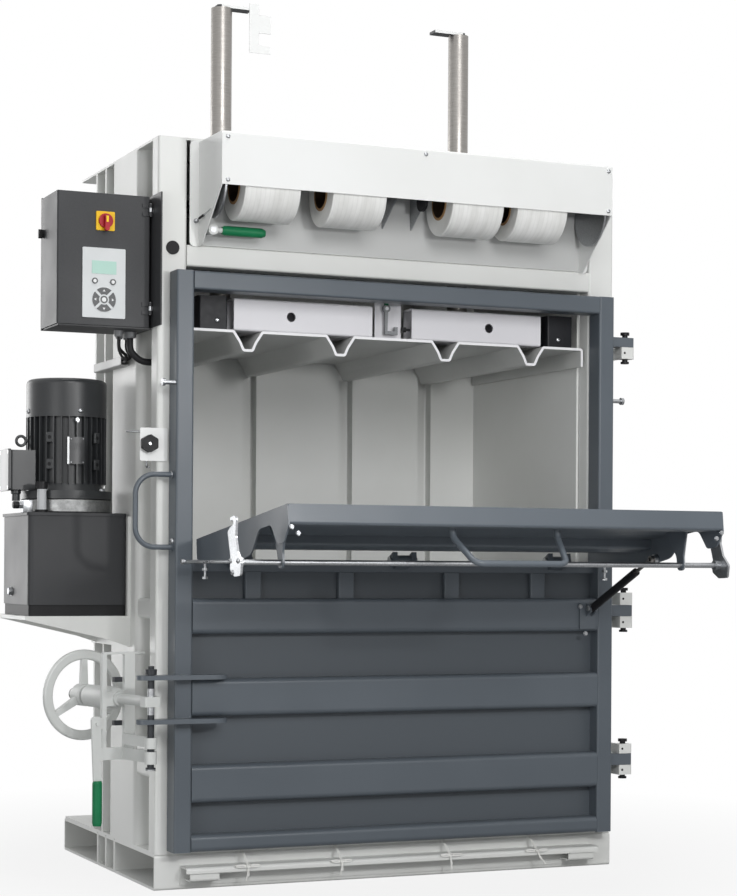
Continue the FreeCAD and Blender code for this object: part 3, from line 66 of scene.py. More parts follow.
# painted shade: a black disc stands in the left post's round hole
post_hole_painted_shade = {"X": (-700, -590), "Z": (1670, 1720)}
hinge_caps = {"X": (690, 740)}
upper_lock_nut = {"X": lock_nut_x, "Y": lock_nut_y, "Z": (546.5, 560.5)}
lower_lock_nut = {"X": lock_nut_x, "Y": lock_nut_y, "Z": (431.5, 445.5)}
wheel_hub_nut = {"X": (-850, -790), "Y": (-148.5, -110)}
lower_bolt_end = {"X": bolt_x, "Z": (330, 470)}
upper_bolt_end = {"X": bolt_x, "Z": (538, 660)}
band_lever_end = {"X": (-640, -526.2)}
lock_lever_blade = {"Z": (290.1, 480)}
nameplate_edge = {"X": (-870, -849.5)}
switch_mark = {"X": (-823, -817), "Y": (-421, -418), "Z": (1752, 1768)}
filler_neck = {"Z": (1004.9, 1060.2)}
tray_glands = {"Z": (1440, 1481)}
grip_rod_side = {"X": (-775, -735.1)}
grip_rod_low = {"Z": (1100, 1129.9)}
grip_stud = {"Y": (-470, -442.1)}
cam_front = {"Y": (-70, -64.9)}
hook_grip = {"Z": (1580.5, 1620)}
spring_pin = {"X": (560.2, 590)}
keypad_screen = {"X": (-856.1, -789.9), "Y": (-402, -400.2), "Z": (1617.9, 1652.1)}
keypad_face = {"Y": (-410, -400.02)}
keypad_round_keys = {"X": (-857, -790), "Z": (1589, 1609), **keypad_face}


def colour(red, green, blue):
    """Screen colour from 0 to 255 as the linear colour that a shader takes."""
    shares = [channel / 255 for channel in (red, green, blue)]
    linear = [share / 12.92 if share <= 0.04045 else ((share + 0.055) / 1.055) ** 2.4 for share in shares]
    return (*linear, 1.0)


# ---- finishes ----
class Finish:
    """A procedural finish, drawn in the coordinates of the piece that wears it."""

    def __init__(self, name, roughness=0.5, metallic=0.0, specular=0.5):
        self.material = bpy.data.materials.new(name)
        self.material.use_nodes = True
        self.tree = self.material.node_tree
        self.shader = self.tree.nodes["Principled BSDF"]
        self.shader.inputs["Roughness"].default_value = roughness
        self.shader.inputs["Metallic"].default_value = metallic
        self.shader.inputs["Specular IOR Level"].default_value = specular
        self.place = self.add("ShaderNodeTexCoord").outputs["Object"]

    def add(self, kind, **settings):
        node = self.tree.nodes.new(kind)
        for key, value in settings.items():
            setattr(node, key, value)
        return node

    def link(self, source, target):
        self.tree.links.new(source, target)

    def stretched(self, scale):
        mapping = self.add("ShaderNodeMapping")
        mapping.inputs["Scale"].default_value = scale
        self.link(self.place, mapping.inputs["Vector"])
        return mapping.outputs["Vector"]

    def noise(self, scale, detail=3.0, stretch=None, rough=0.5):
        """Soft noise from 0 to 1, with about that many waves per metre."""
        node = self.add("ShaderNodeTexNoise")
        node.inputs["Scale"].default_value = scale
        node.inputs["Detail"].default_value = detail
        node.inputs["Roughness"].default_value = rough
        self.link(self.stretched(stretch) if stretch else self.place, node.inputs["Vector"])
        return node.outputs[0]

    def spread(self, value, low, high, to_low=0.0, to_high=1.0):
        """Stretches the part of a value between two limits over another range."""
        node = self.add("ShaderNodeMapRange")
        for name, number in (("From Min", low), ("From Max", high), ("To Min", to_low), ("To Max", to_high)):
            node.inputs[name].default_value = number
        self.link(value, node.inputs["Value"])
        return node.outputs["Result"]

    def feed(self, socket, value):
        """Sets a socket to a number or colour, or links it to another node's output."""
        if isinstance(value, bpy.types.NodeSocket):
            self.link(value, socket)
        else:
            socket.default_value = value

    def sums(self, operation, first, second=0.0):
        """Arithmetic on one or two values, each a number or another node's output."""
        node = self.add("ShaderNodeMath", operation=operation)
        self.feed(node.inputs[0], first)
        self.feed(node.inputs[1], second)
        return node.outputs[0]

    def distance(self, across, up):
        """Length of a line from its two legs."""
        squares = (self.sums("MULTIPLY", across, across), self.sums("MULTIPLY", up, up))
        return self.sums("SQRT", self.sums("ADD", *squares))

    def mixed(self, factor, first, second):
        """Blend of two colours, each a colour or another blend."""
        node = self.add("ShaderNodeMix", data_type="RGBA")
        self.link(factor, node.inputs[0])
        self.feed(node.inputs[6], first)
        self.feed(node.inputs[7], second)
        return node.outputs[2]

    def between(self, factor, first, second):
        """Blend of two numbers, each a number or another blend."""
        node = self.add("ShaderNodeMix", data_type="FLOAT")
        self.link(factor, node.inputs[0])
        self.feed(node.inputs[2], first)
        self.feed(node.inputs[3], second)
        return node.outputs[0]

    def axis(self, name):
        split = self.add("ShaderNodeSeparateXYZ")
        self.link(self.place, split.inputs[0])
        return split.outputs[name]

    def zone(self, **limits):
        """1 inside the limits given in millimetres as X=(low, high) and so on, 0 outside them."""
        mask = None
        for name, (low, high) in limits.items():
            place = self.axis(name)
            inside = self.sums("MULTIPLY", self.sums("GREATER_THAN", place, low * MM),
                               self.sums("LESS_THAN", place, high * MM))
            mask = inside if mask is None else self.sums("MULTIPLY", mask, inside)
        return mask

    def zoned(self, zones, base, rough, metal):
        """Lays zones over a finish: each has limits, colour, roughness and, where it differs, metalness."""
        for limits, other_base, other_rough, *other_metal in zones:
            mask = self.zone(**limits)
            base = self.mixed(mask, base, other_base)
            rough = self.between(mask, rough, other_rough)
            if other_metal:
                metal = self.between(mask, metal, other_metal[0])
        return base, rough, metal

    def bump(self, height, strength, depth_mm, under=None):
        node = self.add("ShaderNodeBump")
        node.inputs["Strength"].default_value = strength
        node.inputs["Distance"].default_value = depth_mm * MM
        self.link(height, node.inputs["Height"])
        if under is not None:
            self.link(under, node.inputs["Normal"])
        return node.outputs[0]

    def wear(self, base=None, rough=None, metal=None, normal=None):
        """Links what comes from nodes to the shader; a plain number is on its socket from the start."""
        sources = {"Base Color": base, "Roughness": rough, "Metallic": metal, "Normal": normal}
        for name, source in sources.items():
            if isinstance(source, bpy.types.NodeSocket):
                self.link(source, self.shader.inputs[name])
        return self.material


def powder_coat(name, shade, darker, roughness, peel=0.28, zones=(), gloss=0.5):
    """Baked paint on steel: orange peel, faint cloudiness and a little dust; zones wear other colours."""
    finish = Finish(name, specular=gloss)
    cloud = finish.spread(finish.noise(2.2, 4.0), 0.35, 0.65)
    base = finish.mixed(cloud, shade, darker)
    smear = finish.noise(5.0, 5.0, stretch=(1.0, 1.0, 0.35))
    rough = finish.spread(smear, 0.3, 0.7, roughness - 0.05, roughness + 0.08)
    base, rough, metal = finish.zoned(zones, base, rough, 0.0)
    fine = finish.bump(finish.noise(420.0, 2.0), peel, 0.12)
    return finish.wear(base, rough, metal, finish.bump(finish.noise(38.0, 2.0), 0.10, 0.4, fine))


def textured_coat(name, shade, darker, zones=()):
    """Fine-textured dark paint of the control box and the oil tank."""
    finish = Finish(name, specular=0.28)
    fleck = finish.spread(finish.noise(900.0, 1.0), 0.42, 0.62)
    base = finish.mixed(fleck, shade, darker)
    rough = finish.spread(finish.noise(6.0, 4.0), 0.3, 0.7, 0.42, 0.52)
    base, rough, metal = finish.zoned(zones, base, rough, 0.0)
    return finish.wear(base, rough, metal, finish.bump(finish.noise(700.0, 2.0), 0.35, 0.15))


def bright_metal(name, shade, darker, roughness, grain=(1.0, 1.0, 60.0), depth=0.10, zones=()):
    """Bare or plated metal with fine grinding marks along one way and a few dull patches."""
    finish = Finish(name, metallic=1.0, specular=0.2)
    marks = finish.noise(30.0, 4.0, stretch=grain, rough=0.65)
    base = finish.mixed(finish.spread(marks, 0.3, 0.7), shade, darker)
    rough = finish.spread(finish.noise(9.0, 4.0), 0.4, 0.7, roughness, roughness + 0.16)
    base, rough, metal = finish.zoned(zones, base, rough, 1.0)
    return finish.wear(base, rough, metal, finish.bump(marks, depth, 0.08))


def moulded(name, shade, darker, roughness, zones=()):
    """Moulded plastic or rubber with a light spark-eroded grain."""
    finish = Finish(name, specular=0.22)
    base = finish.mixed(finish.spread(finish.noise(14.0, 3.0), 0.35, 0.65), shade, darker)
    rough = finish.spread(finish.noise(60.0, 3.0), 0.3, 0.7, roughness - 0.04, roughness + 0.06)
    base, rough, metal = finish.zoned(zones, base, rough, 0.0)
    return finish.wear(base, rough, metal, finish.bump(finish.noise(800.0, 2.0), 0.22, 0.1))


def wound_strap(name):
    """Strap wound on a paper core: fine turns on the ends, ridges along the wound face, brown core; the seams
    between turns and laps are darkened as painted shade, and the core's bore is painted dark as painted shade.
    """
    turn_pitch, lap_pitch = 1.6, 13.0
    finish = Finish(name, specular=0.35)
    radius = finish.distance(finish.sums("SUBTRACT", finish.axis("Y"), roll_y * MM),
                             finish.sums("SUBTRACT", finish.axis("Z"), roll_z * MM))
    turns = finish.sums("SINE", finish.sums("MULTIPLY", radius, 2 * pi / (turn_pitch * MM)))
    laps = finish.sums("SINE", finish.sums("MULTIPLY", finish.axis("X"), 2 * pi / (lap_pitch * MM)))
    uneven = finish.noise(45.0, 4.0, stretch=(1.0, 0.25, 0.25))
    white = finish.mixed(finish.spread(uneven, 0.3, 0.7), colour(243, 243, 241), colour(226, 226, 223))
    # painted shade: the turns on the ends and the laps along the wound face are darkened along their seams
    white = finish.mixed(finish.spread(turns, -1.0, 1.0, 0.0, 0.10), white, colour(150, 150, 146))
    white = finish.mixed(finish.spread(laps, 0.55, 1.0, 0.0, 0.10), white, colour(170, 170, 166))
    core = finish.sums("LESS_THAN", radius, (roll_core_radius + 0.3) * MM)
    paper = finish.mixed(finish.noise(260.0, 3.0), colour(176, 140, 98), colour(142, 108, 72))
    # painted shade: the bore inside the paper core is painted dark brown
    bore_painted_shade = finish.sums("LESS_THAN", radius, (roll_core_radius - roll_core_wall) * MM)
    paper = finish.mixed(bore_painted_shade, paper, colour(66, 50, 38))
    lines = finish.bump(turns, 0.25, 0.25, finish.bump(laps, 0.16, 0.3))
    return finish.wear(finish.mixed(core, white, paper), finish.between(core, 0.42, 0.85),
                       normal=finish.bump(uneven, 0.3, 0.6, lines))


def keypad_print(name):
    """Membrane keypad: silver film, green display, two round keys and four keys round a middle one."""
    middle_key, ring_inner, ring_outer, gap = 10.0, 13.5, 31.8, 4.5
    finish = Finish(name, specular=0.45)
    film = finish.mixed(finish.spread(finish.noise(14.0, 3.0), 0.35, 0.65), colour(206, 209, 210),
                        colour(200, 203, 204))
    screen = finish.zone(**keypad_screen)
    film = finish.mixed(screen, film, colour(172, 208, 196))
    across = finish.sums("SUBTRACT", finish.axis("X"), keypad_ring_x * MM)
    up = finish.sums("SUBTRACT", finish.axis("Z"), keypad_ring_z * MM)
    radius = finish.distance(across, up)
    off_diagonal = finish.sums("ABSOLUTE", finish.sums("SUBTRACT", finish.sums("ABSOLUTE", across),
                                                       finish.sums("ABSOLUTE", up)))
    ring = finish.sums("MULTIPLY", finish.sums("GREATER_THAN", radius, ring_inner * MM),
                       finish.sums("GREATER_THAN", off_diagonal, gap * MM))
    keys = finish.sums("MAXIMUM", ring, finish.sums("LESS_THAN", radius, middle_key * MM))
    keys = finish.sums("MULTIPLY", keys, finish.sums("LESS_THAN", radius, ring_outer * MM))
    keys = finish.sums("MULTIPLY", keys, finish.zone(**keypad_face))
    dark = finish.sums("MAXIMUM", keys, finish.zone(**keypad_round_keys))
    rough = finish.between(screen, finish.between(dark, 0.42, 0.35), 0.18)
    return finish.wear(finish.mixed(dark, film, colour(52, 54, 56)), rough,
                       normal=finish.bump(finish.noise(800.0, 2.0), 0.2, 0.08))


LIGHT, LIGHT_2 = colour(222, 223, 221), colour(215, 216, 213)
SLATE, SLATE_2 = colour(90, 97, 104), colour(84, 91, 98)
DARK, DARK_2 = colour(58, 59, 61), colour(51, 52, 54)
BLACK = colour(24, 24, 26)
WHITE = colour(236, 237, 236)
ZINC, ZINC_2 = colour(188, 190, 192), colour(150, 152, 155)
SHEET, SHEET_2 = colour(205, 206, 204), colour(192, 193, 191)
MOTOR, MOTOR_2 = colour(54, 56, 58), colour(44, 46, 48)
LOCK, LOCK_2 = colour(214, 216, 214), colour(203, 205, 203)
GREEN, GREEN_2 = colour(28, 122, 78), colour(24, 110, 70)
BARE = colour(206, 208, 206)
SCREW = colour(168, 169, 170)
STEEL, DARK_STEEL, BOLT_STEEL = colour(150, 152, 154), colour(120, 122, 124), colour(62, 64, 67)
NUT = colour(52, 54, 58)

body_paint = powder_coat("body_light_grey", LIGHT, LIGHT_2, 0.40)
hood_paint = powder_coat("hood_light_grey", colour(229, 230, 229), colour(224, 225, 223), 0.36)
# the back panel zone is painted shade behind the rolls
header_paint = powder_coat("header_and_back_panel", LIGHT, LIGHT_2, 0.40,
                           zones=[(back_panel_painted_shade, colour(190, 191, 190), 0.5, 0.0)])
chamber_paint = powder_coat("chamber_sheet", SHEET, SHEET_2, 0.44, 0.35)
# painted light: the press beams wear the body's light grey made brighter, standing in for their brighter
# lighting
press_paint_painted_light = powder_coat("press_grey_painted_light", colour(226, 225, 229), colour(216, 215, 219), 0.40, 0.3)
# the plate's front edge zone is a painted highlight
plate_paint = powder_coat("press_plate_sheet", SHEET, SHEET_2, 0.44, 0.35,
                          zones=[(press_plate_edge_painted_highlight, colour(240, 240, 242), 0.4, 0.0)])
# the door's recessed skin zone is painted darker: painted shade between the rails
door_paint = powder_coat("door_slate", SLATE, SLATE_2, 0.34, 0.22, gloss=0.4,
                         zones=[(door_skin_painted_shade, colour(76, 82, 88), 0.42, 0.0)])
box_coat = textured_coat("control_box_charcoal", DARK, DARK_2)
# the black strip low on the tank is a painted shadow under its bracket
tank_coat = textured_coat("oil_tank_charcoal", DARK, DARK_2, zones=[(tank_bracket_painted_shadow, BLACK, 0.55)])
motor_paint = powder_coat("motor_paint", MOTOR, MOTOR_2, 0.34, 0.5)
terminal_paint = powder_coat("terminal_box_black", MOTOR, MOTOR_2, 0.34, 0.5,
                             zones=[(screw, SCREW, 0.4, 0.9) for screw in terminal_screws])
polished = bright_metal("polished_barrel", colour(158, 155, 151), colour(138, 135, 132), 0.30,
                        grain=(1.0, 1.0, 14.0))
zinc = bright_metal("zinc_plate", ZINC, ZINC_2, 0.30, grain=(8.0, 8.0, 8.0))
# the first black zone is painted shade: a black disc in the left post's round hole
pins_zinc = bright_metal("zinc_pins", ZINC, ZINC_2, 0.26, grain=(8.0, 8.0, 8.0),
                         zones=[(post_hole_painted_shade, BLACK, 0.5, 0.0), (hinge_caps, BLACK, 0.4, 0.0)])
lock_paint = powder_coat("lock_light_grey", LOCK, LOCK_2, 0.36, 0.3, zones=[
    (upper_lock_nut, NUT, 0.4, 0.0), (lower_lock_nut, NUT, 0.4, 0.0),
    (wheel_hub_nut, colour(40, 42, 44), 0.35, 0.0)])
wheel_paint = powder_coat("handwheel_light_grey", LOCK, LOCK_2, 0.36, 0.3)
door_pins_finish = bright_metal("pins_and_lock_bolt", ZINC, ZINC_2, 0.28, grain=(8.0, 8.0, 8.0), zones=[
    (lower_bolt_end, BOLT_STEEL, 0.4, 0.6), (upper_bolt_end, BOLT_STEEL, 0.4, 0.6),
    (hinge_caps, BLACK, 0.4, 0.0)])
black_plastic = moulded("black_plastic", BLACK, colour(32, 32, 34), 0.45)
lead_rubber = moulded("lead_sheath", colour(28, 28, 30), colour(38, 38, 40), 0.5)
band_lever_finish = moulded("green_grip_lever", GREEN, GREEN_2, 0.4,
                            zones=[(band_lever_end, BARE, 0.35)])
lock_lever_finish = moulded("green_grip_blade", GREEN, GREEN_2, 0.4,
                            zones=[(lock_lever_blade, BARE, 0.36)])
strap = wound_strap("wound_strap")
strap_end_finish = moulded("strap_end_white", colour(236, 236, 233), colour(214, 214, 210), 0.5)
keypad_film_white = moulded("key_symbol_white", colour(232, 233, 233), colour(222, 223, 223), 0.4)
nameplate_finish = powder_coat("nameplate", colour(44, 45, 47), colour(58, 59, 61), 0.3, 0.1,
                               zones=[(nameplate_edge, colour(206, 208, 209), 0.28, 1.0)])
yellow = moulded("switch_yellow", colour(240, 196, 30), colour(232, 186, 26), 0.4)
red = moulded("switch_red", colour(176, 26, 40), colour(160, 22, 36), 0.32,
              zones=[(switch_mark, colour(244, 206, 30), 0.4)])
keypad_film = keypad_print("keypad_film")
filler_finish = moulded("filler_black_and_steel", BLACK, colour(34, 34, 36), 0.4,
                        zones=[(filler_neck, colour(190, 192, 194), 0.3)])
tray_paint = powder_coat("tray_grey", colour(196, 197, 196), colour(184, 185, 184), 0.42,
                         zones=[(tray_glands, colour(126, 128, 130), 0.4, 0.0)])
switch_plate_finish = powder_coat("white_plate", WHITE, colour(228, 229, 228), 0.38,
                                  zones=[(grip_rod_side, DARK_STEEL, 0.3, 1.0),
                                         (grip_rod_low, DARK_STEEL, 0.3, 1.0),
                                         (grip_stud, STEEL, 0.3, 1.0)])
top_bar_finish = powder_coat("dark_bars_and_white_cam", colour(52, 54, 56), colour(46, 48, 50), 0.4,
                             zones=[(cam_front, colour(232, 233, 232), 0.42, 0.0)])
hook_finish = bright_metal("lever_steel", DARK_STEEL, colour(96, 98, 100), 0.32,
                           grain=(8.0, 8.0, 8.0),
                           zones=[(hook_grip, colour(28, 96, 64), 0.45, 0.0)])
guide_finish = moulded("guide_black", colour(24, 25, 29), colour(32, 33, 37), 0.38)
fitting_paint = powder_coat("fitting_slate", SLATE, SLATE_2, 0.34, 0.2)
bracket_paint = powder_coat("bracket_slate", SLATE, SLATE_2, 0.34, 0.2,
                            zones=[(spring_pin, ZINC, 0.3, 1.0)])
cast_housing = bright_metal("cast_housing", colour(160, 161, 161), colour(128, 129, 129), 0.38,
                            grain=(3.0, 3.0, 3.0), depth=0.3)

wearers = {
    body_paint: ("base_frame", "strap_bar", "corner_posts", "side_walls", "side_channels", "rear_wall",
                 "top_plate", "cylinder_mounts", "hinge_blocks", "tank_bracket"),
    hood_paint: ("hood_cheeks", "hood_cover"),
    header_paint: ("header_beam",),
    chamber_paint: ("floor_pads",),
    plate_paint: ("press_plate",),
    press_paint_painted_light: ("press_beams",),
    door_paint: ("door_frame", "door_panel", "door_handle", "flap_tray", "flap_handle"),
    fitting_paint: ("lock_fork", "door_fittings"),
    box_coat: ("control_back", "control_cover"),
    tank_coat: ("oil_tank",),
    motor_paint: ("motor_body", "motor_cowl"),
    terminal_paint: ("terminal_box",),
    cast_housing: ("bell_housing", "motor_rotor"),
    polished: ("cylinder_barrels", "piston_rods", "gas_rod"),
    zinc: ("roll_axle", "flap_lock_rod"),
    door_pins_finish: ("door_pins",),
    bracket_paint: ("flap_brackets",),
    pins_zinc: ("frame_pins",),
    lock_paint: ("lock_arm",),
    wheel_paint: ("handwheel",),
    lock_lever_finish: ("lock_lever",),
    band_lever_finish: ("band_lever",),
    black_plastic: ("gas_tube", "star_grip", "cover_latch"),
    guide_finish: ("guide_blocks",),
    filler_finish: ("oil_filler",),
    lead_rubber: ("control_leads",),
    strap: ("strap_roll_1", "strap_roll_2", "strap_roll_3", "strap_roll_4"),
    yellow: ("main_switch_plate",),
    red: ("main_switch_knob",),
    keypad_film: ("keypad",),
    switch_plate_finish: ("switch_plate",),
    tray_paint: ("cable_tray",),
    top_bar_finish: ("cylinder_top_bars",),
    hook_finish: ("hook_lever",),
}
for finish, names in wearers.items():
    for name in names:
        nodes[name].data.materials.clear()
        nodes[name].data.materials.append(finish)


# ---- small fittings in mesh code ----
smoothing_angle = 35.0


class Shape:
    """Collects faces in millimetres, then becomes one piece of the scene."""

    def __init__(self):
        self.mesh = bmesh.new()

    def rings(self, rings):
        """Skins a list of equal rings of points and closes both ends."""
        rows = [[self.mesh.verts.new(Vector(point) * MM) for point in ring] for ring in rings]
        count = len(rows[0])
        for first, second in zip(rows, rows[1:]):
            for i in range(count):
                j = (i + 1) % count
                self.mesh.faces.new((first[i], first[j], second[j], second[i]))
        self.mesh.faces.new(rows[0][::-1])
        self.mesh.faces.new(rows[-1])

    def turned(self, profile, at, direction, sides, phase=0.0):
        """Outline of radius and height turned about a line; six sides make a hexagon."""
        turn = Vector((0, 0, 1)).rotation_difference(Vector(direction).normalized())
        angles = [phase + 2 * pi * i / sides for i in range(sides)]
        rings = []
        for radius, height in profile:
            radius = max(radius, 0.01)
            rings.append([Vector(at) + turn @ Vector((radius * cos(angle), radius * sin(angle), height))
                          for angle in angles])
        self.rings(rings)

    def bolt(self, at, direction, size):
        """Hexagon bolt head on its washer, size being the washer's radius."""
        washer = ((1, 0), (1, 0.18))
        head = ((0.86, 0.18), (0.93, 0.24), (0.93, 0.72), (0.80, 0.82))
        self.turned([(size * out, size * up) for out, up in washer], at, direction, 24)
        self.turned([(size * out, size * up) for out, up in head], at, direction, 6, 0.3)

    def dome(self, at, direction, size):
        """Button-head screw with its socket."""
        outline = ((1, 0), (0.95, 0.28), (0.75, 0.5), (0.42, 0.58), (0.40, 0.25), (0, 0.22))
        self.turned([(size * out, size * up) for out, up in outline], at, direction, 20)

    def tube(self, points, radius, sides):
        """Round bar through points."""
        points = [Vector(point) for point in points]
        rings = []
        across = None
        for i, point in enumerate(points):
            ahead = (points[min(i + 1, len(points) - 1)] - points[max(i - 1, 0)]).normalized()
            if across is None:
                across = ahead.orthogonal().normalized()
            across = (across - ahead * across.dot(ahead)).normalized()
            side = ahead.cross(across)
            angles = [2 * pi * k / sides for k in range(sides)]
            rings.append([point + (across * cos(angle) + side * sin(angle)) * radius for angle in angles])
        self.rings(rings)

    def ribbon(self, points, width_way, width, thick):
        """Flat strap through points, its width along one direction."""
        way = Vector(width_way).normalized()
        rings = []
        for i, point in enumerate(points):
            before, after = points[max(i - 1, 0)], points[min(i + 1, len(points) - 1)]
            ahead = (Vector(after) - Vector(before)).normalized()
            flat = (way - ahead * way.dot(ahead)).normalized()
            up = ahead.cross(flat)
            rings.append([Vector(point) + flat * a * width / 2 + up * b * thick / 2 for a, b in CORNERS])
        self.rings(rings)

    def slab(self, x, y, z, edge):
        """Rectangular block between two limits each way, with softened edges."""
        made = bmesh.ops.create_cube(self.mesh, size=1.0)["verts"]
        centre = Vector(((x[0] + x[1]) / 2, (y[0] + y[1]) / 2, (z[0] + z[1]) / 2)) * MM
        for vert in made:
            vert.co = Vector((vert.co.x * (x[1] - x[0]), vert.co.y * (y[1] - y[0]),
                              vert.co.z * (z[1] - z[0]))) * MM + centre
        edges = list({line for vert in made for line in vert.link_edges})
        bmesh.ops.bevel(self.mesh, geom=edges, offset=edge * MM, segments=2, affect="EDGES", profile=0.5)

    def keep(self, name, body, finish):
        """Makes the piece, smooth where its faces meet at less than the smoothing angle."""
        bmesh.ops.recalc_face_normals(self.mesh, faces=self.mesh.faces)
        data = bpy.data.meshes.new(name)
        self.mesh.to_mesh(data)
        self.mesh.free()
        data.set_sharp_from_angle(angle=radians(smoothing_angle))
        for polygon in data.polygons:
            polygon.use_smooth = True
        data.materials.append(finish)
        piece = bpy.data.objects.new(name, data)
        bpy.context.scene.collection.objects.link(piece)
        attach(piece, body)


def eased(points, steps=6):
    """Smooth run of points through a few chosen ones."""
    points = [Vector(point) for point in points]
    ends = [points[0] * 2 - points[1], *points, points[-1] * 2 - points[-2]]
    run = []
    for before, start, end, after in zip(ends, ends[1:], ends[2:], ends[3:]):
        for k in range(steps):
            t = k / steps
            square = 2 * before - 5 * start + 4 * end - after
            cube = 3 * start - before - 3 * end + after
            run.append(0.5 * (2 * start + (end - before) * t + square * t * t + cube * t ** 3))
    return run + [points[-1]]


def on_motor(angle, z, radius=motor_radius):
    """Place on the motor's round side and the way out of it, the angle counted from the front."""
    out = (sin(radians(angle)), -cos(radians(angle)), 0)
    return (motor_x + radius * out[0], motor_y + radius * out[1], z), out


def on_flap(out, up):
    """Y and Z of a place on the open flap, counted out from its hinge and up from its sheet's middle."""
    lean = radians(90 - flap_open_angle)
    return (flap_hinge_y - out * cos(lean) + up * sin(lean),
            flap_hinge_z + out * sin(lean) + up * cos(lean))


def screw_set(name, body, head, places, direction, size):
    """One zinc piece of equal heads on one body; head is Shape.dome or Shape.bolt."""
    heads = Shape()
    for place in places:
        head(heads, place, direction, size)
    heads.keep(name, body, zinc)


hood_screws = [(x, hood_front_y, z) for x in (-560.0, 564.0) for z in (1961.0, 1850.0)]
screw_set("hood_screws", "frame", Shape.dome, [*hood_screws, (2.0, hood_front_y, 1962.0)], FRONT, 6.0)

# motor: flange bolts, cowl screws, bare nameplate with its rivets, foot pads
flange_bolt_radius = 113.0
plate_low_z, plate_high_z, plate_radius = 1130.0, 1204.0, motor_radius + 1.2
plate_start, plate_end, plate_steps = -14.0, 10.5, 10
motor_bolts = Shape()
for angle in (45, 135, 225, 315):
    motor_bolts.bolt(on_motor(angle, flange_top_z, flange_bolt_radius)[0], UP, 9.0)
for angle in (4.6, 94.6, 184.6, 274.6):
    motor_bolts.dome(*on_motor(angle, cowl_low_z + 16), 7.0)
motor_bolts.bolt(*on_motor(0.0, cowl_low_z - 10), 6.0)
for z in (plate_low_z + 5, plate_high_z - 5):
    for angle in (plate_start + 5.5, plate_end - 1.5):
        motor_bolts.dome(*on_motor(angle, z, plate_radius), 2.2)
motor_bolts.keep("motor_bolts", "frame", zinc)

nameplate = Shape()
plate_section = ((motor_radius - 0.6, plate_low_z), (plate_radius, plate_low_z),
                 (plate_radius, plate_high_z), (motor_radius - 0.6, plate_high_z))
plate_angles = [plate_start + (plate_end - plate_start) * k / plate_steps for k in range(plate_steps + 1)]
nameplate.rings([[on_motor(angle, z, radius)[0] for radius, z in plate_section] for angle in plate_angles])
nameplate.keep("motor_nameplate", "frame", nameplate_finish)

feet = [(angle, z) for angle in (-39.3, 33.0) for z in (1203.0, 1130.0)]
foot_pads = Shape()
for angle, z in feet:
    base, out = on_motor(angle, z, motor_radius - 6)
    way = Vector((out[1], -out[0], 0))
    foot_pads.rings([[Vector(base) + Vector(out) * depth + way * a * half + Vector((0, 0, b * tall))
                      for a, b in CORNERS]
                     for depth, half, tall in ((0, 10, 14), (7, 10, 14), (8.5, 8.5, 12.5))])
foot_pads.keep("motor_foot_pads", "frame", motor_paint)
# painted shade: black dishes on the foot pads stand for their bolt holes
foot_hole_shades = Shape()
for angle, z in feet:
    base, out = on_motor(angle, z, motor_radius + 2.4)
    foot_hole_shades.turned([(5.2, 0), (5.2, 0.4), (4.6, 0.5), (4.2, 0.2)], base, out, 20)
foot_hole_shades.keep("motor_foot_hole_shades_painted", "frame", black_plastic)

# pressure port beside the filler, with its black cap
port_x, port_y, port_z = -960.0, -152.0, tank_top_z + 20
port_side_x, port_nut_height = port_x - 15, 9
port = Shape()
port.slab((port_side_x, port_x + 12), (port_y - 12, port_y + 12), (tank_top_z - 0.5, tank_top_z + 34), 2.0)
port.turned([(11, 0), (11, port_nut_height)], (port_side_x, port_y, port_z), LEFT, 6, 0.5)
port.keep("pressure_port", "frame", zinc)
port_cap = Shape()
port_cap.turned([(9, 0), (10, 2), (10, 14), (8.5, 17), (3, 18)],
                (port_side_x - port_nut_height + 0.5, port_y, port_z), LEFT, 24)
port_cap.keep("port_cap", "frame", black_plastic)

# keypad: arrow heads on the four keys, and rings on the middle key and the two round keys
arrow_tip, arrow_base, arrow_spread, symbol_height = 27.0, 21.5, 0.17, 0.3
arrows = Shape()
for turn in range(4):
    angle = pi / 2 * turn
    corners = [(rim * cos(angle + lean), rim * sin(angle + lean))
               for rim, lean in ((arrow_tip, 0.0), (arrow_base, arrow_spread), (arrow_base, -arrow_spread))]
    arrows.rings([[(keypad_ring_x + a, keypad_front_y + 0.02 - lift, keypad_ring_z + b) for a, b in corners]
                  for lift in (0.0, symbol_height)])
for inner, outer, place in ((3.0, 4.6, (-848.0, box_front_y - 5.98, 1599.0)),
                            (3.0, 4.6, (-799.0, box_front_y - 5.98, 1598.0)),
                            (4.4, 6.0, (keypad_ring_x, keypad_front_y + 0.02, keypad_ring_z))):
    arrows.turned([(inner, 0), (outer, 0), (outer, symbol_height), (inner, symbol_height)], place, FRONT,
                  28 if outer > 5 else 24)
arrows.keep("key_symbols", "control_cover", keypad_film_white)


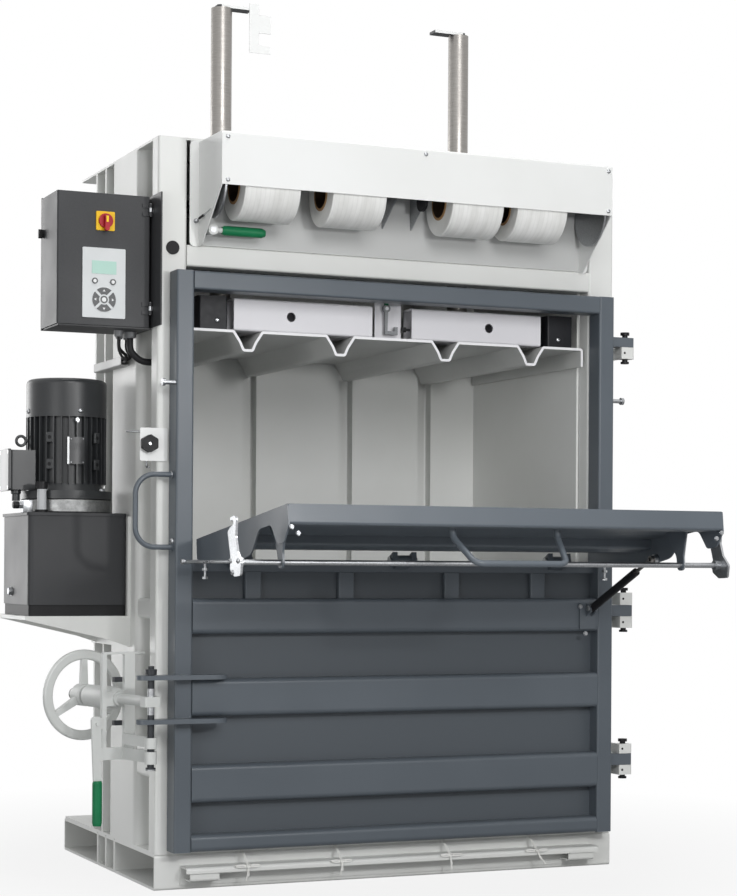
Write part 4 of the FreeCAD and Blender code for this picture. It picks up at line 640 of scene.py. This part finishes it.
def tied_strap(number, x, lean, tail_x):
    """One strap end: it comes over the base from behind the door, flat down to the ledge, and is tied there
    with a knot, a bow to each side and two tails."""
    y, z = ledge_front_y - 2.6, ledge_top_z - 2.0
    knot_turns, knot_steps = 2, 40
    end = Shape()
    flat_run = [(x - lean * 0.3, -433.2, 107.0), (x - lean * 0.2, -443.0, 101.0), (x, -466.0, 84.0),
                (x, -486.0, ledge_top_z + 3.5), (x, y, z)]
    end.ribbon(eased(flat_run), (1, 0, 0), 7.0, 0.9)
    turns = [knot_turns * 2 * pi * k / knot_steps for k in range(knot_steps + 1)]
    knot = [(x + 5.0 * cos(turn), y - 0.6 + 2.2 * sin(1.5 * turn), z + 4.6 * sin(turn)) for turn in turns]
    end.tube(knot, 1.7, 8)
    for side in (-1, 1):
        reach = side * (33.0 + 4.0 * sin(number * 2.1 + side))
        bow = [(x, y - 1.4, z), (x + reach * 0.5, y - 1.8, z + 2.6), (x + reach, y - 0.8, z + 0.8),
               (x + reach * 0.55, y - 2.6, z - 2.6), (x, y - 1.6, z - 1.2)]
        end.ribbon(eased(bow), (0, 0.5, 1), 4.2, 0.8)
    for shift, length in ((tail_x, 40.0), (tail_x * 0.4 + 3.0, 27.0)):
        tail = [(x, y - 1.8, z - 1.0), (x + shift * 0.35, y - 3.2, z - length * 0.45),
                (x + shift, y - 2.2, z - length)]
        end.ribbon(eased(tail), (1, 0.3, 0), 5.0, 0.8)
    end.keep("strap_end_%d" % number, "frame", strap_end_finish)


strap_ends = ((-446.0, 3, -7), (-176.5, 10, -6), (147.5, 14, 4), (418.0, 26, 26))
for number, (x, lean, tail_x) in enumerate(strap_ends, 1):
    tied_strap(number, x, lean, tail_x)

# sprung pin on the left cheek's flange
cheek_pin = Shape()
cheek_pin.turned([(0, -6), (4.2, -4.2), (6, 0), (4.2, 4.2), (0, 6)], (-583.8, -443.0, 1768.6),
                 (0.02, -0.99, 0.13), 20)
cheek_pin.turned([(6.5, 0), (6.5, 2.2)], (-583.8, -437.0, 1768.4), FRONT, 24)
cheek_pin.tube([(-583.2, -446.0, 1769.4), (-580.6, -500.0, 1777.6), (-579.2, -540.6, 1785.0)], 1.5, 10)
cheek_pin.keep("cheek_pin", "frame", zinc)
cheek_collar = Shape()
cheek_collar.tube([(-582.6, -462.0, 1771.8), (-581.0, -490.0, 1776.2)], 3.2, 14)
cheek_collar.keep("cheek_pin_collar", "frame", black_plastic)

# black rest of the axle rod beside the middle gusset
rest = Shape()
rest.turned([(9, 0), (26, 0), (27.5, 1.5), (27.5, 9.5), (26, 11), (9, 11)],
            (31.0, roll_y, roll_z + 2.0), RIGHT, 36)
rest.keep("axle_rest", "frame", black_plastic)

# door: screws at the handle's ends, and the bolts of the gas spring's bracket
screw_set("handle_end_caps", "door", Shape.dome, [(-655.2, -470.0, z) for z in (1095.0, 919.0)], LEFT, 9.0)
screw_set("spring_bracket_bolts", "door", Shape.bolt,
          [(x, -506.0, z) for x, z in ((545.8, 747.0), (583.9, 747.0), (562.5, 670.5))], FRONT, 6.5)

# flap: a stop bolt with its two nuts under each side
stop_nut = [(7.5, 0), (8, 1), (8, 6), (7, 7)]
stops = Shape()
for x in (-594.0, 594.0):
    stops.turned([(3.4, 0), (3.4, 40)], (x, -558.0, 828.0), UP, 16)
    stops.turned(stop_nut, (x, -558.0, 828.0), DOWN, 6, 0.2)
    stops.turned(stop_nut, (x, -558.0, 850.0), DOWN, 6, 0.7)
stops.keep("flap_stop_bolts", "flap", zinc)

# flap: screws at the front corners of the tray
screw_set("flap_corner_screws", "flap", Shape.bolt,
          [(side * x, *on_flap(673.0, up)) for side in (-1, 1) for x, up in ((590.0, -6.0), (574.0, -21.0))],
          FRONT, 6.0)

# flap: guide rod along its left side on two cross pins, and the bolts of the left hook plate
rod_x, rod_z, rod_rear_y, rod_front_y = -646.0, 866.0, -560.0, -988.0
side_rod = Shape()
side_rod.tube([(rod_x, rod_rear_y + 8, rod_z), (rod_x, rod_front_y - 4, rod_z)], 4.2, 14)
side_rod.tube([(-597.0, rod_rear_y, rod_z), (-654.0, rod_rear_y, rod_z)], 5.0, 14)
side_rod.tube([(-557.0, rod_front_y, rod_z), (-650.0, rod_front_y, rod_z)], 4.0, 14)
side_rod.bolt((-654.0, rod_rear_y, rod_z), LEFT, 8.0)
side_rod.keep("flap_side_rod", "flap", pins_zinc)
screw_set("hook_plate_bolts", "flap_lock", Shape.dome,
          [(-680.0, y, z) for y, z in ((-988.0, 868.0), (-1042.0, 868.0), (-1004.0, 840.0))], LEFT, 6.5)

# press: screws of the guide blocks and the stop stud beside the hook lever
screw_set("guide_block_screws", "press", Shape.dome,
          [(-515.0, -415.0, 1512.0), (519.0, -415.0, 1509.0)], FRONT, 7.0)
stud_place = (60.0, -396.0, 1516.0)
stud = Shape()
stud.turned([(3.5, 0), (3.5, 14)], stud_place, LEFT, 14)
stud.turned([(7, 13), (7.5, 14), (7.5, 21), (6.5, 22)], stud_place, LEFT, 20)
stud.keep("lever_stop_stud", "press", black_plastic)

# grub screw holes of the hinge blocks, and the plug low on the tank's side
grub_holes = Shape()
for z in (1473.5, 768.5, 701.5, 338.5, 278.0):
    grub_holes.turned([(3.4, -0.2), (3.4, 0.25)], (697.0, -487.0, z), FRONT, 18)
grub_holes.keep("hinge_grub_screws", "frame", black_plastic)
screw_set("tank_plug", "frame", Shape.bolt, [(tank_left_x, -14.0, 783.0)], LEFT, 12.0)

# ---- camera at the photograph's place ----
photo_lens, photo_shift_x, photo_shift_y = 84.69, 0.0008, 0.1325
photo_place = (-2.39365, -5.73367, 0.85606)
photo_heading, photo_roll = radians(23.586), radians(0.346)
camera_data = bpy.data.cameras.new("photo_camera")
camera_data.sensor_width = 36.0
camera_data.lens = photo_lens
camera_data.shift_x, camera_data.shift_y = photo_shift_x, photo_shift_y
camera = bpy.data.objects.new("photo_camera", camera_data)
camera.matrix_world = (Matrix.Translation(photo_place) @ Matrix.Rotation(-photo_heading, 4, "Z")
                       @ Matrix.Rotation(pi / 2, 4, "X") @ Matrix.Rotation(photo_roll, 4, "Z"))
bpy.context.scene.collection.objects.link(camera)
bpy.context.scene.camera = camera


# ---- plain studio ----
def soft_lamp(name, at, towards, size, watts):
    """Rectangular lamp at a place in metres, turned towards another and unseen by the camera."""
    data = bpy.data.lights.new(name, "AREA")
    data.shape = "RECTANGLE"
    data.size, data.size_y = size
    data.energy = watts
    lamp = bpy.data.objects.new(name, data)
    lamp.location = at
    lamp.rotation_euler = (Vector(towards) - Vector(at)).to_track_quat("-Z", "Y").to_euler()
    lamp.visible_camera = False
    bpy.context.scene.collection.objects.link(lamp)


soft_lamp("key", (-0.8, -6.2, 3.3), (0, 0, 0.9), (2.6, 2.0), 122)
soft_lamp("front", (0.2, -3.7, 1.55), (0, 0, 0.8), (0.25, 0.25), 24)
soft_lamp("fill", (-5.5, -4.5, 0.9), (0, 0, 0.5), (2.6, 1.6), 60)
soft_lamp("overhead", (0.0, -1.2, 6.0), (0, 0, 0.6), (3.0, 3.0), 130)
soft_lamp("side_panel", (-3.6, 6.0, 1.6), (-0.8, 0, 1.0), (4.0, 4.0), 170)

# the world lights the object softly, and is plain white to the camera and in reflections
sky_strength, sky_colour = 0.34, (0.97, 0.985, 1.0, 1.0)
world = bpy.data.worlds.new("studio")
world.use_nodes = True
sky = world.node_tree
background = sky.nodes["Background"]
background.inputs["Strength"].default_value = sky_strength
background.inputs["Color"].default_value = sky_colour
white = sky.nodes.new("ShaderNodeBackground")
white.inputs["Color"].default_value = (1.0, 1.0, 1.0, 1.0)
white.inputs["Strength"].default_value = 1.0
rays = sky.nodes.new("ShaderNodeLightPath")
seen = rays.outputs["Is Camera Ray"]
for kind in ("Is Glossy Ray", "Is Transmission Ray"):
    either = sky.nodes.new("ShaderNodeMath")
    either.operation = "MAXIMUM"
    sky.links.new(seen, either.inputs[0])
    sky.links.new(rays.outputs[kind], either.inputs[1])
    seen = either.outputs[0]
mix = sky.nodes.new("ShaderNodeMixShader")
sky.links.new(seen, mix.inputs[0])
sky.links.new(background.outputs[0], mix.inputs[1])
sky.links.new(white.outputs[0], mix.inputs[2])
sky.links.new(mix.outputs[0], sky.nodes["World Output"].inputs["Surface"])
bpy.context.scene.world = world

# the floor keeps the object's shadow near it and fades into the white background further out
floor_colour, floor_half, floor_drop = (0.45, 0.45, 0.45, 1.0), 30.0, 0.0005
fade_near, fade_far, glow_near = 0.9, 2.2, 0.86
floor_finish = Finish("studio_floor", roughness=0.85, specular=0.2)
floor_finish.shader.inputs["Base Color"].default_value = floor_colour
away = floor_finish.add("ShaderNodeVectorMath", operation="LENGTH")
floor_finish.link(floor_finish.place, away.inputs[0])
fade = floor_finish.spread(away.outputs["Value"], fade_near, fade_far, glow_near, 1.0)
to_camera = floor_finish.add("ShaderNodeLightPath").outputs["Is Camera Ray"]
glow = floor_finish.add("ShaderNodeEmission")
glow.inputs["Color"].default_value = (1.0, 1.0, 1.0, 1.0)
glow.inputs["Strength"].default_value = 1.0
blend = floor_finish.add("ShaderNodeMixShader")
floor_finish.link(floor_finish.sums("MULTIPLY", fade, to_camera), blend.inputs[0])
floor_finish.link(floor_finish.shader.outputs[0], blend.inputs[1])
floor_finish.link(glow.outputs[0], blend.inputs[2])
floor_finish.link(blend.outputs[0], floor_finish.tree.nodes["Material Output"].inputs["Surface"])
floor_mesh = bmesh.new()
bmesh.ops.create_grid(floor_mesh, x_segments=1, y_segments=1, size=floor_half)
floor_data = bpy.data.meshes.new("studio_floor")
floor_mesh.to_mesh(floor_data)
floor_data.materials.append(floor_finish.material)
floor = bpy.data.objects.new("studio_floor", floor_data)
floor.location.z = -floor_drop
bpy.context.scene.collection.objects.link(floor)

bpy.context.scene.view_settings.view_transform = "Standard"
